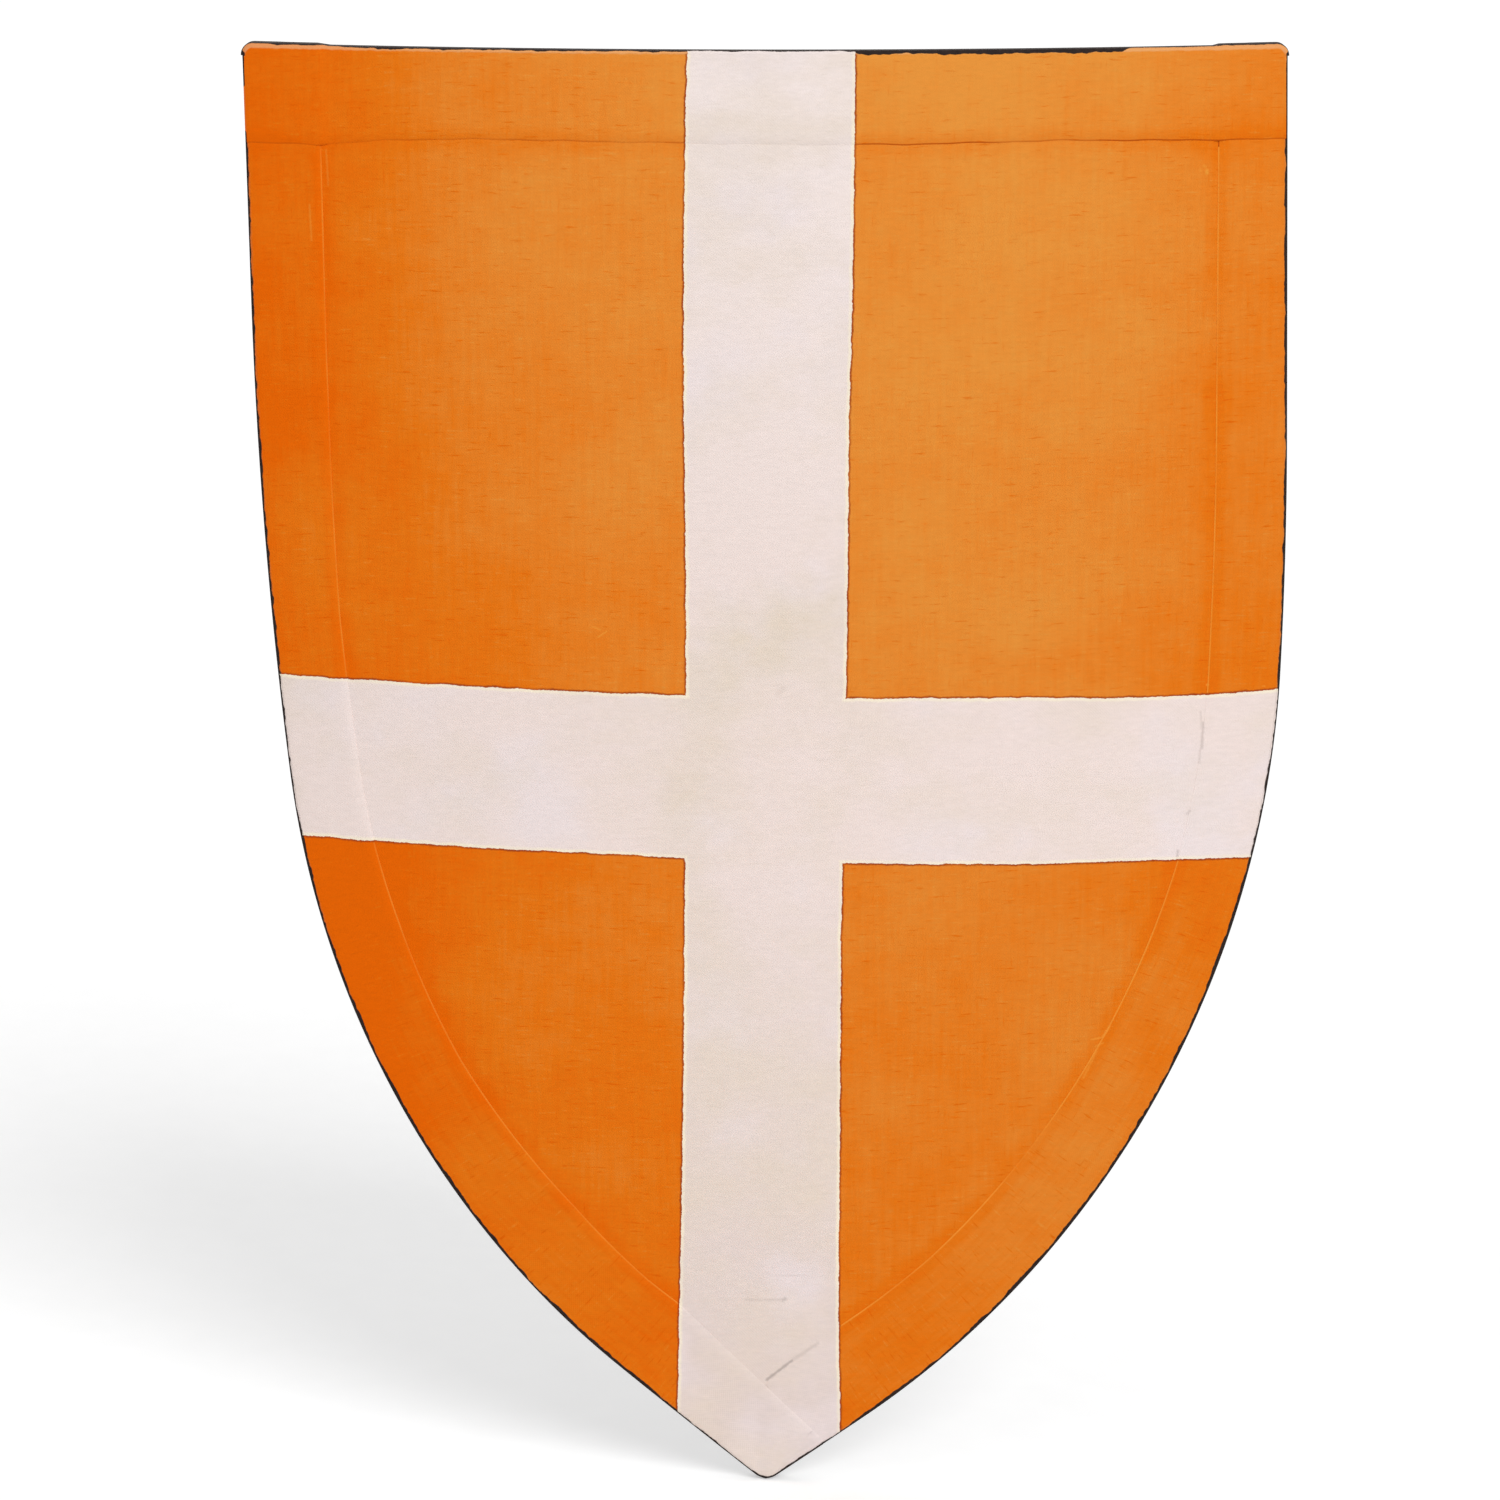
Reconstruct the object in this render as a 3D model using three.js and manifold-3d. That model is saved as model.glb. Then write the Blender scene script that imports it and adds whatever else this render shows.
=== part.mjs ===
// A bent wooden shield, covered in linen and painted, with its edge strips, arm pad, arm straps
// and an unbuckled shoulder strap that hangs behind it.
// Millimetres, +Z up. The painted front faces -Y and the bearer stands on the +Y side.
// The origin is the middle of the pad's rear face, where the forearm lies along X.

import * as THREE from 'three';
import { mergeVertices } from 'three/addons/utils/BufferGeometryUtils.js';
import Module from 'manifold-3d';

// Outline, seen from the front
const topHeight = 310;
const tipDepth = 474.4;
const cornerRadius = 5;
const tipRadius = 9;
const rightHalfWidth = 278.5;
const rightStraight = 210;
const rightShoulderRadius = 2370;
const rightPointStraight = 65;
const leftHalfWidth = 280.5;
const leftStraight = 140;
const leftShoulderRadius = 2640;
const leftPointStraight = 103;

// How far each side has turned inwards from straight down, in degrees: along its upper straight,
// and where its flank starts
const rightLeanAngle = -0.9;
const rightTurnAngle = 2.25;
const leftLeanAngle = 1.25;
const leftTurnAngle = 6.8;

// Bend and layers, from the outermost front face inwards
const bendRadius = 800;
const facetWidth = 25;
const stripThickness = 0.7;
const coverThickness = 0.7;
const plyThickness = 2.4;
const liningThickness = 0.8;
const glueLine = 0.3;

// Linen edge strips
const topStripWidth = 48;
const sideStripTopWidth = 40.5;
const sideStripTipWidth = 48;
const backLegWidth = 20;
const tipLapReach = 70;

// Copper rivets and their washers
const rivetShankRadius = 2.2;
const rivetHeadRadius = 5;
const rivetHeadHeight = 1.9;
const rivetPeenRadius = 3.4;
const rivetPeenHeight = 1.3;
const roveRadius = 6;
const roveThickness = 1.3;
const roveBevel = 0.5;
const fitGap = 0.3;

// Arm pad
const padLength = 256;
const padCentre = 2.5;
const padHeight = 114;
const padRise = 18;
const padEdgeRadius = 12;
const padCoverThickness = 1.5;
const padFlangeWidth = 14;
const padDraw = 2.5;
const padBury = 14;
const padRoundShare = 0.4;
const padCrownShares = [0.35, 0.7];
const tackHeadRadius = 4.5;
const tackHeadHeight = 2.2;
const tackShankRadius = 0.9;
const tackLength = 5;
const tackInset = 7;

// Forearm strap
const forearmPlace = 102;
const forearmWidth = 50;
const forearmThickness = 3.5;
const forearmArch = 113;
const forearmTopRadius = 64;
const forearmBendRadius = 10;
const forearmFoot = 34;
const forearmRivetSpacing = 26;
const forearmRivetInset = 15;

// Hand strap and its wrapping
const gripPlace = -103;
const gripWidth = 32;
const gripThickness = 3.5;
const gripArch = 58;
const gripTopRadius = 52;
const gripBendRadius = 9;
const gripFoot = 44;
const gripRivetSpacing = 20;
const gripRivetInset = 12;
const gripWrapThickness = 1.4;

// How steeply each strap stands off the board, and how much of the hand strap is wrapped, in degrees
const forearmRiseAngle = 80;
const gripRiseAngle = 66;
const gripWrapAngle = 44;

// Shoulder strap, its tabs and its wire loops
const slingPlace = 152;
const slingWidth = 30;
const slingThickness = 2.5;
const tabInset = 27;
const tabLength = 52;
const tabRivetInset = 9;
const tabRivetSpacing = 16;
const foldNeck = 14;
const foldReturn = 40;
const wireRadius = 2;
const loopInnerWidth = 32;
const loopDrop = 18;
const loopCornerRadius = 3;
const buckleStrapLength = 250;
const longStrapLength = 500;
const strapPointLength = 24;
const strapPointWidth = 7;
const strapHoleRadius = 2;
const strapHoleSpacing = 25;
const strapHoleInset = 55;
const strapHoleCount = 7;

// Buckle and keeper
const frameDrop = 26;
const rollerRadius = 3.2;
const rollerEndGap = 1;
const prongRadius = 1.4;
const prongTipRadius = 1.1;
const prongEyeRadius = 4.1;
const prongEyeWidth = 4.6;
const prongOverhang = 3;
const prongSlotWidth = 6;
const prongSlotLength = 15;
const keeperHeight = 10;
const keeperWall = 1.5;
const keeperRoom = 0.2;
const keeperSideRoom = 0.6;

// One overrun for every cut, so that no cut ends on a face
const overrun = 6;

// Counts of steps along curves
const shoulderSteps = 3;
const flankSteps = 14;
const cornerSteps = 3;
const tipSteps = 5;
const wireCornerSteps = 2;
const bendSteps = 5;
const archSteps = 16;
const foldSteps = 8;
const roundSteps = 12;
const barSteps = 12;
const tackSteps = 10;
const tackDomeSteps = 3;
const tackHoleSteps = 6;
const wireSteps = 8;
const padOutlineSteps = 28;

// Depth of each layer's front face below the outermost front face
const lapLevel = 0;
const stripLevel = lapLevel + stripThickness + glueLine;
const coverLevel = stripLevel + stripThickness + glueLine;
const frontPlyLevel = coverLevel + coverThickness + glueLine;
const middlePlyLevel = frontPlyLevel + plyThickness + glueLine;
const backPlyLevel = middlePlyLevel + plyThickness + glueLine;
const liningLevel = backPlyLevel + plyThickness + glueLine;
const rearLevel = liningLevel + liningThickness;
const backLegLevel = rearLevel + glueLine;
const backLegRear = backLegLevel + stripThickness;

const DEGREE = Math.PI / 180;
const rearRadius = bendRadius - rearLevel;
const axisY = rearRadius - padRise;

const right = {
  sign: 1,
  halfWidth: rightHalfWidth,
  straight: rightStraight,
  shoulderRadius: rightShoulderRadius,
  lean: rightLeanAngle * DEGREE,
  turn: rightTurnAngle * DEGREE,
  pointStraight: rightPointStraight,
};
const left = {
  sign: -1,
  halfWidth: leftHalfWidth,
  straight: leftStraight,
  shoulderRadius: leftShoulderRadius,
  lean: leftLeanAngle * DEGREE,
  turn: leftTurnAngle * DEGREE,
  pointStraight: leftPointStraight,
};

const wasm = await Module();
wasm.setup();

// Finishes: colour, roughness, metalness
const finishes = {
  paintedLinen: ['#e27d2b', 0.75, 0],
  plywood: ['#c79a63', 0.7, 0],
  lining: ['#3a2a20', 0.85, 0],
  strapLeather: ['#6b3f22', 0.6, 0],
  padLeather: ['#8a5a34', 0.65, 0],
  wool: ['#d8cbb0', 0.95, 0],
  copper: ['#a8603a', 0.4, 1],
  brass: ['#b08a45', 0.4, 1],
  iron: ['#55534f', 0.45, 1],
};

const shield = new THREE.Group();

// Solids

function solid(geometry) {
  const bare = geometry.clone();
  bare.deleteAttribute('normal');
  bare.deleteAttribute('uv');
  const merged = mergeVertices(bare);
  const index = merged.index.array;
  const corners = [];
  for (let i = 0; i < index.length; i += 3) {
    const [a, b, c] = index.slice(i, i + 3);
    if (a !== b && b !== c && c !== a) corners.push(a, b, c);
  }
  return new wasm.Manifold(new wasm.Mesh({
    numProp: 3,
    vertProperties: new Float32Array(merged.attributes.position.array),
    triVerts: new Uint32Array(corners),
  }));
}

function geometryOf(body) {
  const mesh = body.getMesh();
  const geometry = new THREE.BufferGeometry();
  geometry.setAttribute('position', new THREE.BufferAttribute(new Float32Array(mesh.vertProperties), 3));
  geometry.setIndex(new THREE.BufferAttribute(new Uint32Array(mesh.triVerts), 1));
  geometry.computeVertexNormals();
  return geometry;
}

function joined(solids) {
  return solids.reduce((whole, piece) => whole.add(piece));
}

function addPiece(parent, name, shape, finishName) {
  const [color, roughness, metalness] = finishes[finishName];
  const geometry = shape.isBufferGeometry ? shape : geometryOf(shape);
  const material = new THREE.MeshStandardMaterial({ color, roughness, metalness });
  const mesh = new THREE.Mesh(geometry, material);
  mesh.name = name;
  parent.add(mesh);
  return mesh;
}

// Outline of the board: a straight upper side, a wide shoulder arc, a flank arc and a straight
// to the point

function heading(angle) {
  return new THREE.Vector2(-Math.sin(angle), -Math.cos(angle));
}

function outward(angle) {
  return new THREE.Vector2(Math.cos(angle), -Math.sin(angle));
}

function stepsBetween(start, end, count) {
  return Array.from({ length: count + 1 }, (_, i) => start + ((end - start) * i) / count);
}

function sideArcs(side) {
  const corner = new THREE.Vector2(side.halfWidth, topHeight);
  const shoulder = corner.clone().addScaledVector(heading(side.lean), side.straight);
  const shoulderCentre = shoulder.clone().addScaledVector(outward(side.lean), -side.shoulderRadius);
  const flank = shoulderCentre.clone().addScaledVector(outward(side.turn), side.shoulderRadius);
  const toTip = sharpTip().sub(flank);
  const down = toTip.dot(heading(side.turn));
  const inwards = -toTip.dot(outward(side.turn));
  const flankRadius = (toTip.lengthSq() - side.pointStraight ** 2) / (2 * inwards);
  const flankCentre = flank.clone().addScaledVector(outward(side.turn), -flankRadius);
  const flankTurn = Math.atan2(down, flankRadius - inwards) - Math.atan2(side.pointStraight, flankRadius);
  return { corner, shoulderCentre, flankRadius, flankCentre, pointTurn: side.turn + flankTurn };
}

// Where the straights of both sides would meet
function sharpTip() {
  return new THREE.Vector2(0, -tipDepth);
}

// The centre of the rounded point, which touches both straights
function tipCentre() {
  const a = outward(sideArcs(right).pointTurn);
  const b = outward(sideArcs(left).pointTurn).multiply(new THREE.Vector2(-1, 1));
  return sharpTip().addScaledVector(a.clone().add(b), -tipRadius / (1 + a.dot(b)));
}

function sideOutline(side, offset) {
  const arcs = sideArcs(side);
  const inset = (cornerRadius * (1 + Math.sin(side.lean))) / Math.cos(side.lean);
  const cornerCentre = new THREE.Vector2(side.halfWidth - inset, topHeight - cornerRadius);
  const points = stepsBetween(-Math.PI / 2, side.lean, cornerSteps)
    .map((a) => cornerCentre.clone().addScaledVector(outward(a), cornerRadius + offset));
  for (const a of stepsBetween(side.lean, side.turn, shoulderSteps)) {
    points.push(arcs.shoulderCentre.clone().addScaledVector(outward(a), side.shoulderRadius + offset));
  }
  for (const a of stepsBetween(side.turn, arcs.pointTurn, flankSteps).slice(1)) {
    points.push(arcs.flankCentre.clone().addScaledVector(outward(a), arcs.flankRadius + offset));
  }
  return points.map((p) => new THREE.Vector2(p.x * side.sign, p.y));
}

function outline(offset) {
  const round = stepsBetween(-sideArcs(right).pointTurn, sideArcs(left).pointTurn - Math.PI, tipSteps)
    .map((angle) => new THREE.Vector2(Math.cos(angle), Math.sin(angle)))
    .map((ray) => tipCentre().addScaledVector(ray, tipRadius + offset));
  return [...sideOutline(right, offset), ...round, ...sideOutline(left, offset).reverse()];
}

// The band along one side, from past the edge to the strip's inner line, run on past the point
function sideBand(side, topWidth, tipWidth) {
  const arcs = sideArcs(side);
  const stations = [[arcs.corner, side.lean]];
  for (const a of stepsBetween(side.lean, side.turn, shoulderSteps)) {
    stations.push([arcs.shoulderCentre.clone().addScaledVector(outward(a), side.shoulderRadius), a]);
  }
  for (const a of stepsBetween(side.turn, arcs.pointTurn, flankSteps).slice(1)) {
    stations.push([arcs.flankCentre.clone().addScaledVector(outward(a), arcs.flankRadius), a]);
  }
  stations.push([sharpTip().addScaledVector(heading(arcs.pointTurn), tipLapReach), arcs.pointTurn]);
  const widthAt = (point) => {
    const share = (topHeight - point.y) / (topHeight + tipDepth);
    return topWidth + (tipWidth - topWidth) * share;
  };
  const outer = stations.map(([p, a]) => p.clone().addScaledVector(outward(a), overrun));
  const inner = stations.map(([p, a]) => p.clone().addScaledVector(outward(a), -widthAt(p)));
  outer.unshift(outer[0].clone().setY(topHeight + overrun));
  inner.unshift(inner[0].clone().setY(topHeight + overrun));
  return [...outer, ...inner.reverse()].map((p) => new THREE.Vector2(p.x * side.sign, p.y));
}

// A straight cut through the whole board, with its outline in X and Z
function throughCut(points) {
  const depth = bendRadius + overrun;
  const geometry = new THREE.ExtrudeGeometry(new THREE.Shape(points), { depth, bevelEnabled: false });
  geometry.rotateX(Math.PI / 2);
  geometry.translate(0, axisY, 0);
  return solid(geometry);
}

function throughBox(x0, x1, z0, z1) {
  return throughCut([[x0, z0], [x1, z0], [x1, z1], [x0, z1]].map(([x, z]) => new THREE.Vector2(x, z)));
}

const farLeft = -(leftHalfWidth + rightHalfWidth);
const farRight = leftHalfWidth + rightHalfWidth;
const farDown = -(tipDepth + overrun);
const farUp = topHeight + overrun;

// A bent wall between two depths, with its folds at the same angles at every depth
function bentWall(near, far) {
  const widest = Math.max(...outline(glueLine + stripThickness).map((p) => Math.abs(p.x))) + overrun;
  const folds = Math.ceil((Math.asin(widest / (bendRadius - far)) * bendRadius) / facetWidth);
  const turns = stepsBetween(-folds, folds, 2 * folds).map((i) => (i * facetWidth) / bendRadius);
  const onArc = (radius) => (a) => new THREE.Vector2(radius * Math.sin(a), axisY - radius * Math.cos(a));
  const frontLine = turns.map(onArc(bendRadius - near));
  const rearLine = turns.reverse().map(onArc(bendRadius - far));
  const plan = new THREE.Shape([...frontLine, ...rearLine]);
  const geometry = new THREE.ExtrudeGeometry(plan, { depth: farUp - farDown, bevelEnabled: false });
  geometry.translate(0, 0, farDown);
  return solid(geometry);
}

// Everything behind a depth, for trimming what rests on the bent lining
function spaceBehind(depth) {
  return bentWall(depth, depth + padRise + overrun);
}

// Seats on the lining: X along the board, Y away from it towards the bearer

function seat(x, z) {
  const angle = Math.asin(x / rearRadius);
  const group = new THREE.Group();
  group.position.set(x, axisY - rearRadius * Math.cos(angle), z);
  group.rotation.z = angle;
  group.updateMatrix();
  shield.add(group);
  return group;
}

// How far a flat strap of this width stands off the hollow lining
function seatRise(width) {
  return fitGap + rearRadius - Math.sqrt(rearRadius ** 2 - (width / 2) ** 2);
}

// Turned pieces, with their axis along the seat's Y

function turned(profile, steps) {
  return new THREE.LatheGeometry(profile.map(([r, y]) => new THREE.Vector2(r, y)), steps);
}

function rivet(gripTop) {
  const head = frontPlyLevel + fitGap - rearLevel;
  const washerTop = gripTop + fitGap + roveThickness;
  return turned([
    [0, head],
    [rivetHeadRadius, head],
    [rivetShankRadius, head + rivetHeadHeight],
    [rivetShankRadius, washerTop + fitGap],
    [rivetPeenRadius, washerTop + fitGap],
    [rivetPeenRadius / 2, washerTop + fitGap + rivetPeenHeight],
    [0, washerTop + fitGap + rivetPeenHeight],
  ], roundSteps);
}

// The hole that a rivet passes through, opened in front for its countersunk head
function rivetHole(gripTop) {
  const head = frontPlyLevel + fitGap - rearLevel;
  const far = gripTop + roveThickness + overrun;
  const wide = rivetHeadRadius + fitGap;
  const narrow = rivetShankRadius + fitGap;
  return turned([
    [0, head - overrun],
    [wide, head - overrun],
    [wide, head],
    [narrow, head + rivetHeadHeight],
    [narrow, far],
    [0, far],
  ], roundSteps);
}

function rove() {
  const hole = rivetShankRadius + fitGap;
  return turned([
    [hole, 0],
    [roveRadius, 0],
    [roveRadius, roveThickness - roveBevel],
    [roveRadius - 2 * roveBevel, roveThickness],
    [hole, roveThickness],
    [hole, 0],
  ], roundSteps);
}

const boardDrills = [];

// Rivets one fitting to the board and returns the holes in the fitting's own frame
function riveted(group, label, places, gripTop) {
  const holes = [];
  places.forEach(([x, z], i) => {
    const body = rivet(gripTop).translate(x, 0, z);
    const washer = rove().translate(x, gripTop + fitGap, z);
    addPiece(group, `${label}_rivet_${i + 1}`, body, 'copper');
    addPiece(group, `${label}_rove_${i + 1}`, washer, 'copper');
    const hole = rivetHole(gripTop).translate(x, 0, z);
    holes.push(solid(hole));
    boardDrills.push(solid(hole.clone().applyMatrix4(group.matrix)));
  });
  return joined(holes);
}

// Strap sections in Y and Z, carried across the width along X

function strapSection(line, thickness) {
  const upper = [];
  const lower = [];
  line.forEach((point, i) => {
    const before = line[Math.max(i - 1, 0)];
    const after = line[Math.min(i + 1, line.length - 1)];
    const arrive = point.clone().sub(before).normalize();
    const leave = after.clone().sub(point).normalize();
    const along = arrive.clone().add(leave).normalize();
    const straight = i === 0 || i === line.length - 1;
    const bend = straight ? 1 : along.dot(leave);
    const square = new THREE.Vector2(-along.y, along.x).multiplyScalar(thickness / 2 / bend);
    upper.push(point.clone().add(square));
    lower.push(point.clone().sub(square));
  });
  return [...upper, ...lower.reverse()];
}

function acrossX(points, width) {
  const section = new THREE.Shape(points);
  const geometry = new THREE.ExtrudeGeometry(section, { depth: width, bevelEnabled: false });
  geometry.translate(0, 0, -width / 2);
  const axes = [new THREE.Vector3(0, 1, 0), new THREE.Vector3(0, 0, 1), new THREE.Vector3(1, 0, 0)];
  return geometry.applyMatrix4(new THREE.Matrix4().makeBasis(...axes));
}

function box(x0, x1, y0, y1, z0, z1) {
  const geometry = new THREE.BoxGeometry(x1 - x0, y1 - y0, z1 - z0);
  return solid(geometry.translate((x0 + x1) / 2, (y0 + y1) / 2, (z0 + z1) / 2));
}

// Half of an arched strap's middle line: a flat foot, a tight bend, a flank and a wide crown
function archHalf(arch) {
  const rise = arch.rise * DEGREE;
  const base = seatRise(arch.width) + arch.thickness / 2;
  const crown = arch.height + arch.thickness / 2;
  const lift = 1 - Math.cos(rise);
  const flank = (crown - base - (arch.bendRadius + arch.topRadius) * lift) / Math.sin(rise);
  const bendStart = (arch.bendRadius + arch.topRadius) * Math.sin(rise) + flank * Math.cos(rise);
  const line = [new THREE.Vector2(base, bendStart + arch.foot)];
  for (const a of stepsBetween(0, rise, bendSteps)) {
    line.push(new THREE.Vector2(
      base + arch.bendRadius * (1 - Math.cos(a)),
      bendStart - arch.bendRadius * Math.sin(a),
    ));
  }
  for (const a of stepsBetween(rise, 0, archSteps / 2)) {
    line.push(crownPoint(arch, a));
  }
  return { line, bendStart };
}

function crownPoint(arch, angle) {
  const crown = arch.height + arch.thickness / 2;
  return new THREE.Vector2(
    crown - arch.topRadius * (1 - Math.cos(angle)),
    arch.topRadius * Math.sin(angle),
  );
}

function mirrored(line) {
  return line.slice(0, -1).reverse().map((p) => new THREE.Vector2(p.x, -p.y));
}

function archStrap(arch) {
  const { line } = archHalf(arch);
  return solid(acrossX(strapSection([...line, ...mirrored(line)], arch.thickness), arch.width));
}

// Board layers

const boardOutline = throughCut(outline(0));

function boardLayer(level, thickness) {
  return bentWall(level, level + thickness).intersect(boardOutline);
}

// Edge strips: a front leg, an edge over the board's thickness and a narrower rear leg

const grownOutline = throughCut(outline(glueLine + stripThickness));
const aroundBoard = grownOutline.subtract(throughCut(outline(glueLine)));

function sideStrip(side) {
  const band = throughCut(sideBand(side, sideStripTopWidth, sideStripTipWidth)).intersect(grownOutline);
  const rearBand = throughCut(sideBand(side, backLegWidth, backLegWidth)).intersect(grownOutline);
  const inner = side.sign > 0 ? glueLine : 0;
  const half = (top) => {
    const [x0, x1] = side.sign > 0 ? [inner, farRight] : [farLeft, inner];
    return throughBox(x0, x1, farDown, top);
  };
  const belowCorner = half(topHeight - cornerRadius - glueLine);
  const front = bentWall(stripLevel, stripLevel + stripThickness).intersect(band);
  const edge = bentWall(stripLevel, backLegRear).intersect(aroundBoard);
  const rear = bentWall(backLegLevel, backLegRear).intersect(rearBand);
  const belowTopStrip = half(topHeight - backLegWidth - glueLine);
  return front.add(edge).intersect(belowCorner).add(rear.intersect(belowTopStrip));
}

// At the point the left strip laps over the end of the right one
function tipLap() {
  const band = throughCut(sideBand(left, sideStripTopWidth, sideStripTipWidth)).intersect(grownOutline);
  const beyond = throughBox(-stripThickness, farRight, farDown, 0);
  const step = throughBox(-stripThickness, 0, farDown, 0);
  const lap = bentWall(lapLevel, lapLevel + stripThickness).intersect(band).intersect(beyond);
  const riser = bentWall(lapLevel, stripLevel + stripThickness).intersect(band).intersect(step);
  return lap.add(riser);
}

// Where the top strip steps up, just inside the inner line of the side strip under it
function stepLine(side) {
  const widening = (sideStripTipWidth - sideStripTopWidth) / (topHeight + tipDepth);
  const drift = topStripWidth * (Math.abs(Math.tan(side.lean)) + widening);
  return side.halfWidth - sideStripTopWidth - drift - glueLine;
}

// The top strip steps up over the upper ends of the side strips
function topStrip() {
  const stepLeft = -stepLine(left);
  const stepRight = stepLine(right);
  const bottom = topHeight - topStripWidth;
  const rearBottom = topHeight - backLegWidth;
  const middle = throughBox(stepLeft, stepRight, bottom, farUp);
  const ends = throughBox(farLeft, stepLeft + stripThickness, bottom, farUp)
    .add(throughBox(stepRight - stripThickness, farRight, bottom, farUp));
  const risers = throughBox(stepLeft, stepLeft + stripThickness, bottom, farUp)
    .add(throughBox(stepRight - stripThickness, stepRight, bottom, farUp));
  const aboveCorner = throughBox(farLeft, farRight, topHeight - cornerRadius, farUp);
  const low = bentWall(stripLevel, stripLevel + stripThickness).intersect(middle);
  const high = bentWall(lapLevel, lapLevel + stripThickness).intersect(ends);
  const riser = bentWall(lapLevel, stripLevel + stripThickness).intersect(risers);
  const legs = low.add(high).add(riser).intersect(grownOutline);
  const edge = bentWall(stripLevel, backLegRear).intersect(middle)
    .add(bentWall(lapLevel, backLegRear).intersect(ends))
    .intersect(aroundBoard).intersect(aboveCorner);
  const rear = bentWall(backLegLevel, backLegRear)
    .intersect(boardOutline.add(grownOutline.intersect(aboveCorner)))
    .intersect(throughBox(farLeft, farRight, rearBottom, farUp));
  return legs.add(edge).add(rear);
}

// Arm pad: a crowned, stuffed cover with a flange that tacks hold to the board

function padOutlinePoint(angle, inset) {
  const square = Math.cos(angle) ** 2;
  const reachX = padLength / 2 - padFlangeWidth - inset;
  const reachZ = padHeight / 2 - padFlangeWidth - inset;
  const draw = padDraw * (1 - Math.abs(Math.sin(2 * angle)));
  const x = Math.sign(Math.cos(angle)) * Math.abs(Math.cos(angle)) ** padRoundShare;
  const z = Math.sign(Math.sin(angle)) * Math.abs(Math.sin(angle)) ** padRoundShare;
  return [x * (reachX - draw * square), z * (reachZ - draw * (1 - square))];
}

// Rings of the cushion, as inset from its outline and rise above the lining
function padRings(shrink) {
  const sideTop = padRise - padEdgeRadius / 2;
  const crownRise = padRise - sideTop;
  const rings = [[shrink, -padBury]];
  for (const a of stepsBetween(0, Math.PI / 2, cornerSteps)) {
    rings.push([
      shrink + (padEdgeRadius - shrink) * (1 - Math.cos(a)),
      sideTop - padEdgeRadius + (padEdgeRadius - shrink) * Math.sin(a),
    ]);
  }
  const span = padHeight / 2 - padFlangeWidth - padEdgeRadius;
  for (const share of padCrownShares) {
    rings.push([
      padEdgeRadius + span * share,
      sideTop - shrink + crownRise * (1 - (1 - share) ** 2),
    ]);
  }
  return { rings, top: padRise - shrink };
}

// Lays a point of the pad on the bent lining
function onLining(x, rise, z) {
  const angle = x / rearRadius;
  const radius = rearRadius - rise;
  return [radius * Math.sin(angle), axisY - radius * Math.cos(angle), z];
}

function cushion(shrink) {
  const { rings, top } = padRings(shrink);
  const angles = stepsBetween(0, 2 * Math.PI, padOutlineSteps).slice(0, -1);
  const positions = [];
  for (const [inset, rise] of rings) {
    for (const angle of angles) {
      const [x, z] = padOutlinePoint(angle, inset);
      positions.push(...onLining(padCentre + x, rise, z));
    }
  }
  const topPoint = positions.length / 3;
  positions.push(...onLining(padCentre, top, 0));
  const basePoint = topPoint + 1;
  positions.push(...onLining(padCentre, rings[0][1], 0));
  const corners = [];
  const last = (rings.length - 1) * padOutlineSteps;
  for (let i = 0; i < padOutlineSteps; i++) {
    const next = (i + 1) % padOutlineSteps;
    for (let start = 0; start < last; start += padOutlineSteps) {
      const above = start + padOutlineSteps;
      corners.push(start + i, above + i, start + next, start + next, above + i, above + next);
    }
    corners.push(last + i, topPoint, last + next);
    corners.push(i, next, basePoint);
  }
  const geometry = new THREE.BufferGeometry();
  geometry.setAttribute('position', new THREE.Float32BufferAttribute(positions, 3));
  geometry.setIndex(corners);
  return solid(geometry.toNonIndexed());
}

const flangeLevel = rearLevel + fitGap;
const flangeRear = flangeLevel + padCoverThickness;

function padFlange() {
  const [x0, x1] = [padCentre - padLength / 2, padCentre + padLength / 2];
  const [z0, z1] = [-padHeight / 2, padHeight / 2];
  return bentWall(flangeLevel, flangeRear).intersect(throughBox(x0, x1, z0, z1));
}

const tackSeat = fitGap + padCoverThickness + fitGap;

function tack() {
  const point = tackSeat - tackLength;
  const dome = stepsBetween(0, Math.PI / 2, tackDomeSteps)
    .map((a) => [tackHeadRadius * Math.cos(a), tackSeat + tackHeadHeight * Math.sin(a)]);
  const shank = [[0, point], [tackShankRadius, point + tackShankRadius], [tackShankRadius, tackSeat]];
  return turned([...shank, ...dome], tackSteps);
}

function tackHole() {
  const [near, far] = [tackSeat - tackLength - fitGap, tackSeat + overrun];
  const radius = tackShankRadius + fitGap;
  return turned([[0, near], [radius, near], [radius, far], [0, far]], tackHoleSteps);
}

const tackShares = [
  [-1, 1], [-1 / 3, 1], [1 / 3, 1], [1, 1], [1, 0],
  [1, -1], [1 / 3, -1], [-1 / 3, -1], [-1, -1], [-1, 0],
];

function armPad() {
  const holes = tackShares.map(([shareX, shareZ], i) => {
    const x = padCentre + shareX * (padLength / 2 - tackInset);
    const group = seat(x, shareZ * (padHeight / 2 - tackInset));
    addPiece(group, `pad_tack_${i + 1}`, tack(), 'brass');
    return solid(tackHole().applyMatrix4(group.matrix));
  });
  const tackHoles = joined(holes);
  const cover = cushion(0).intersect(spaceBehind(flangeLevel)).add(padFlange())
    .subtract(cushion(padCoverThickness)).subtract(tackHoles);
  const filling = cushion(padCoverThickness + fitGap).intersect(spaceBehind(flangeLevel));
  addPiece(shield, 'pad_cover', cover, 'padLeather');
  addPiece(shield, 'pad_filling', filling, 'wool');
  return tackHoles;
}

// Arm straps

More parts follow.
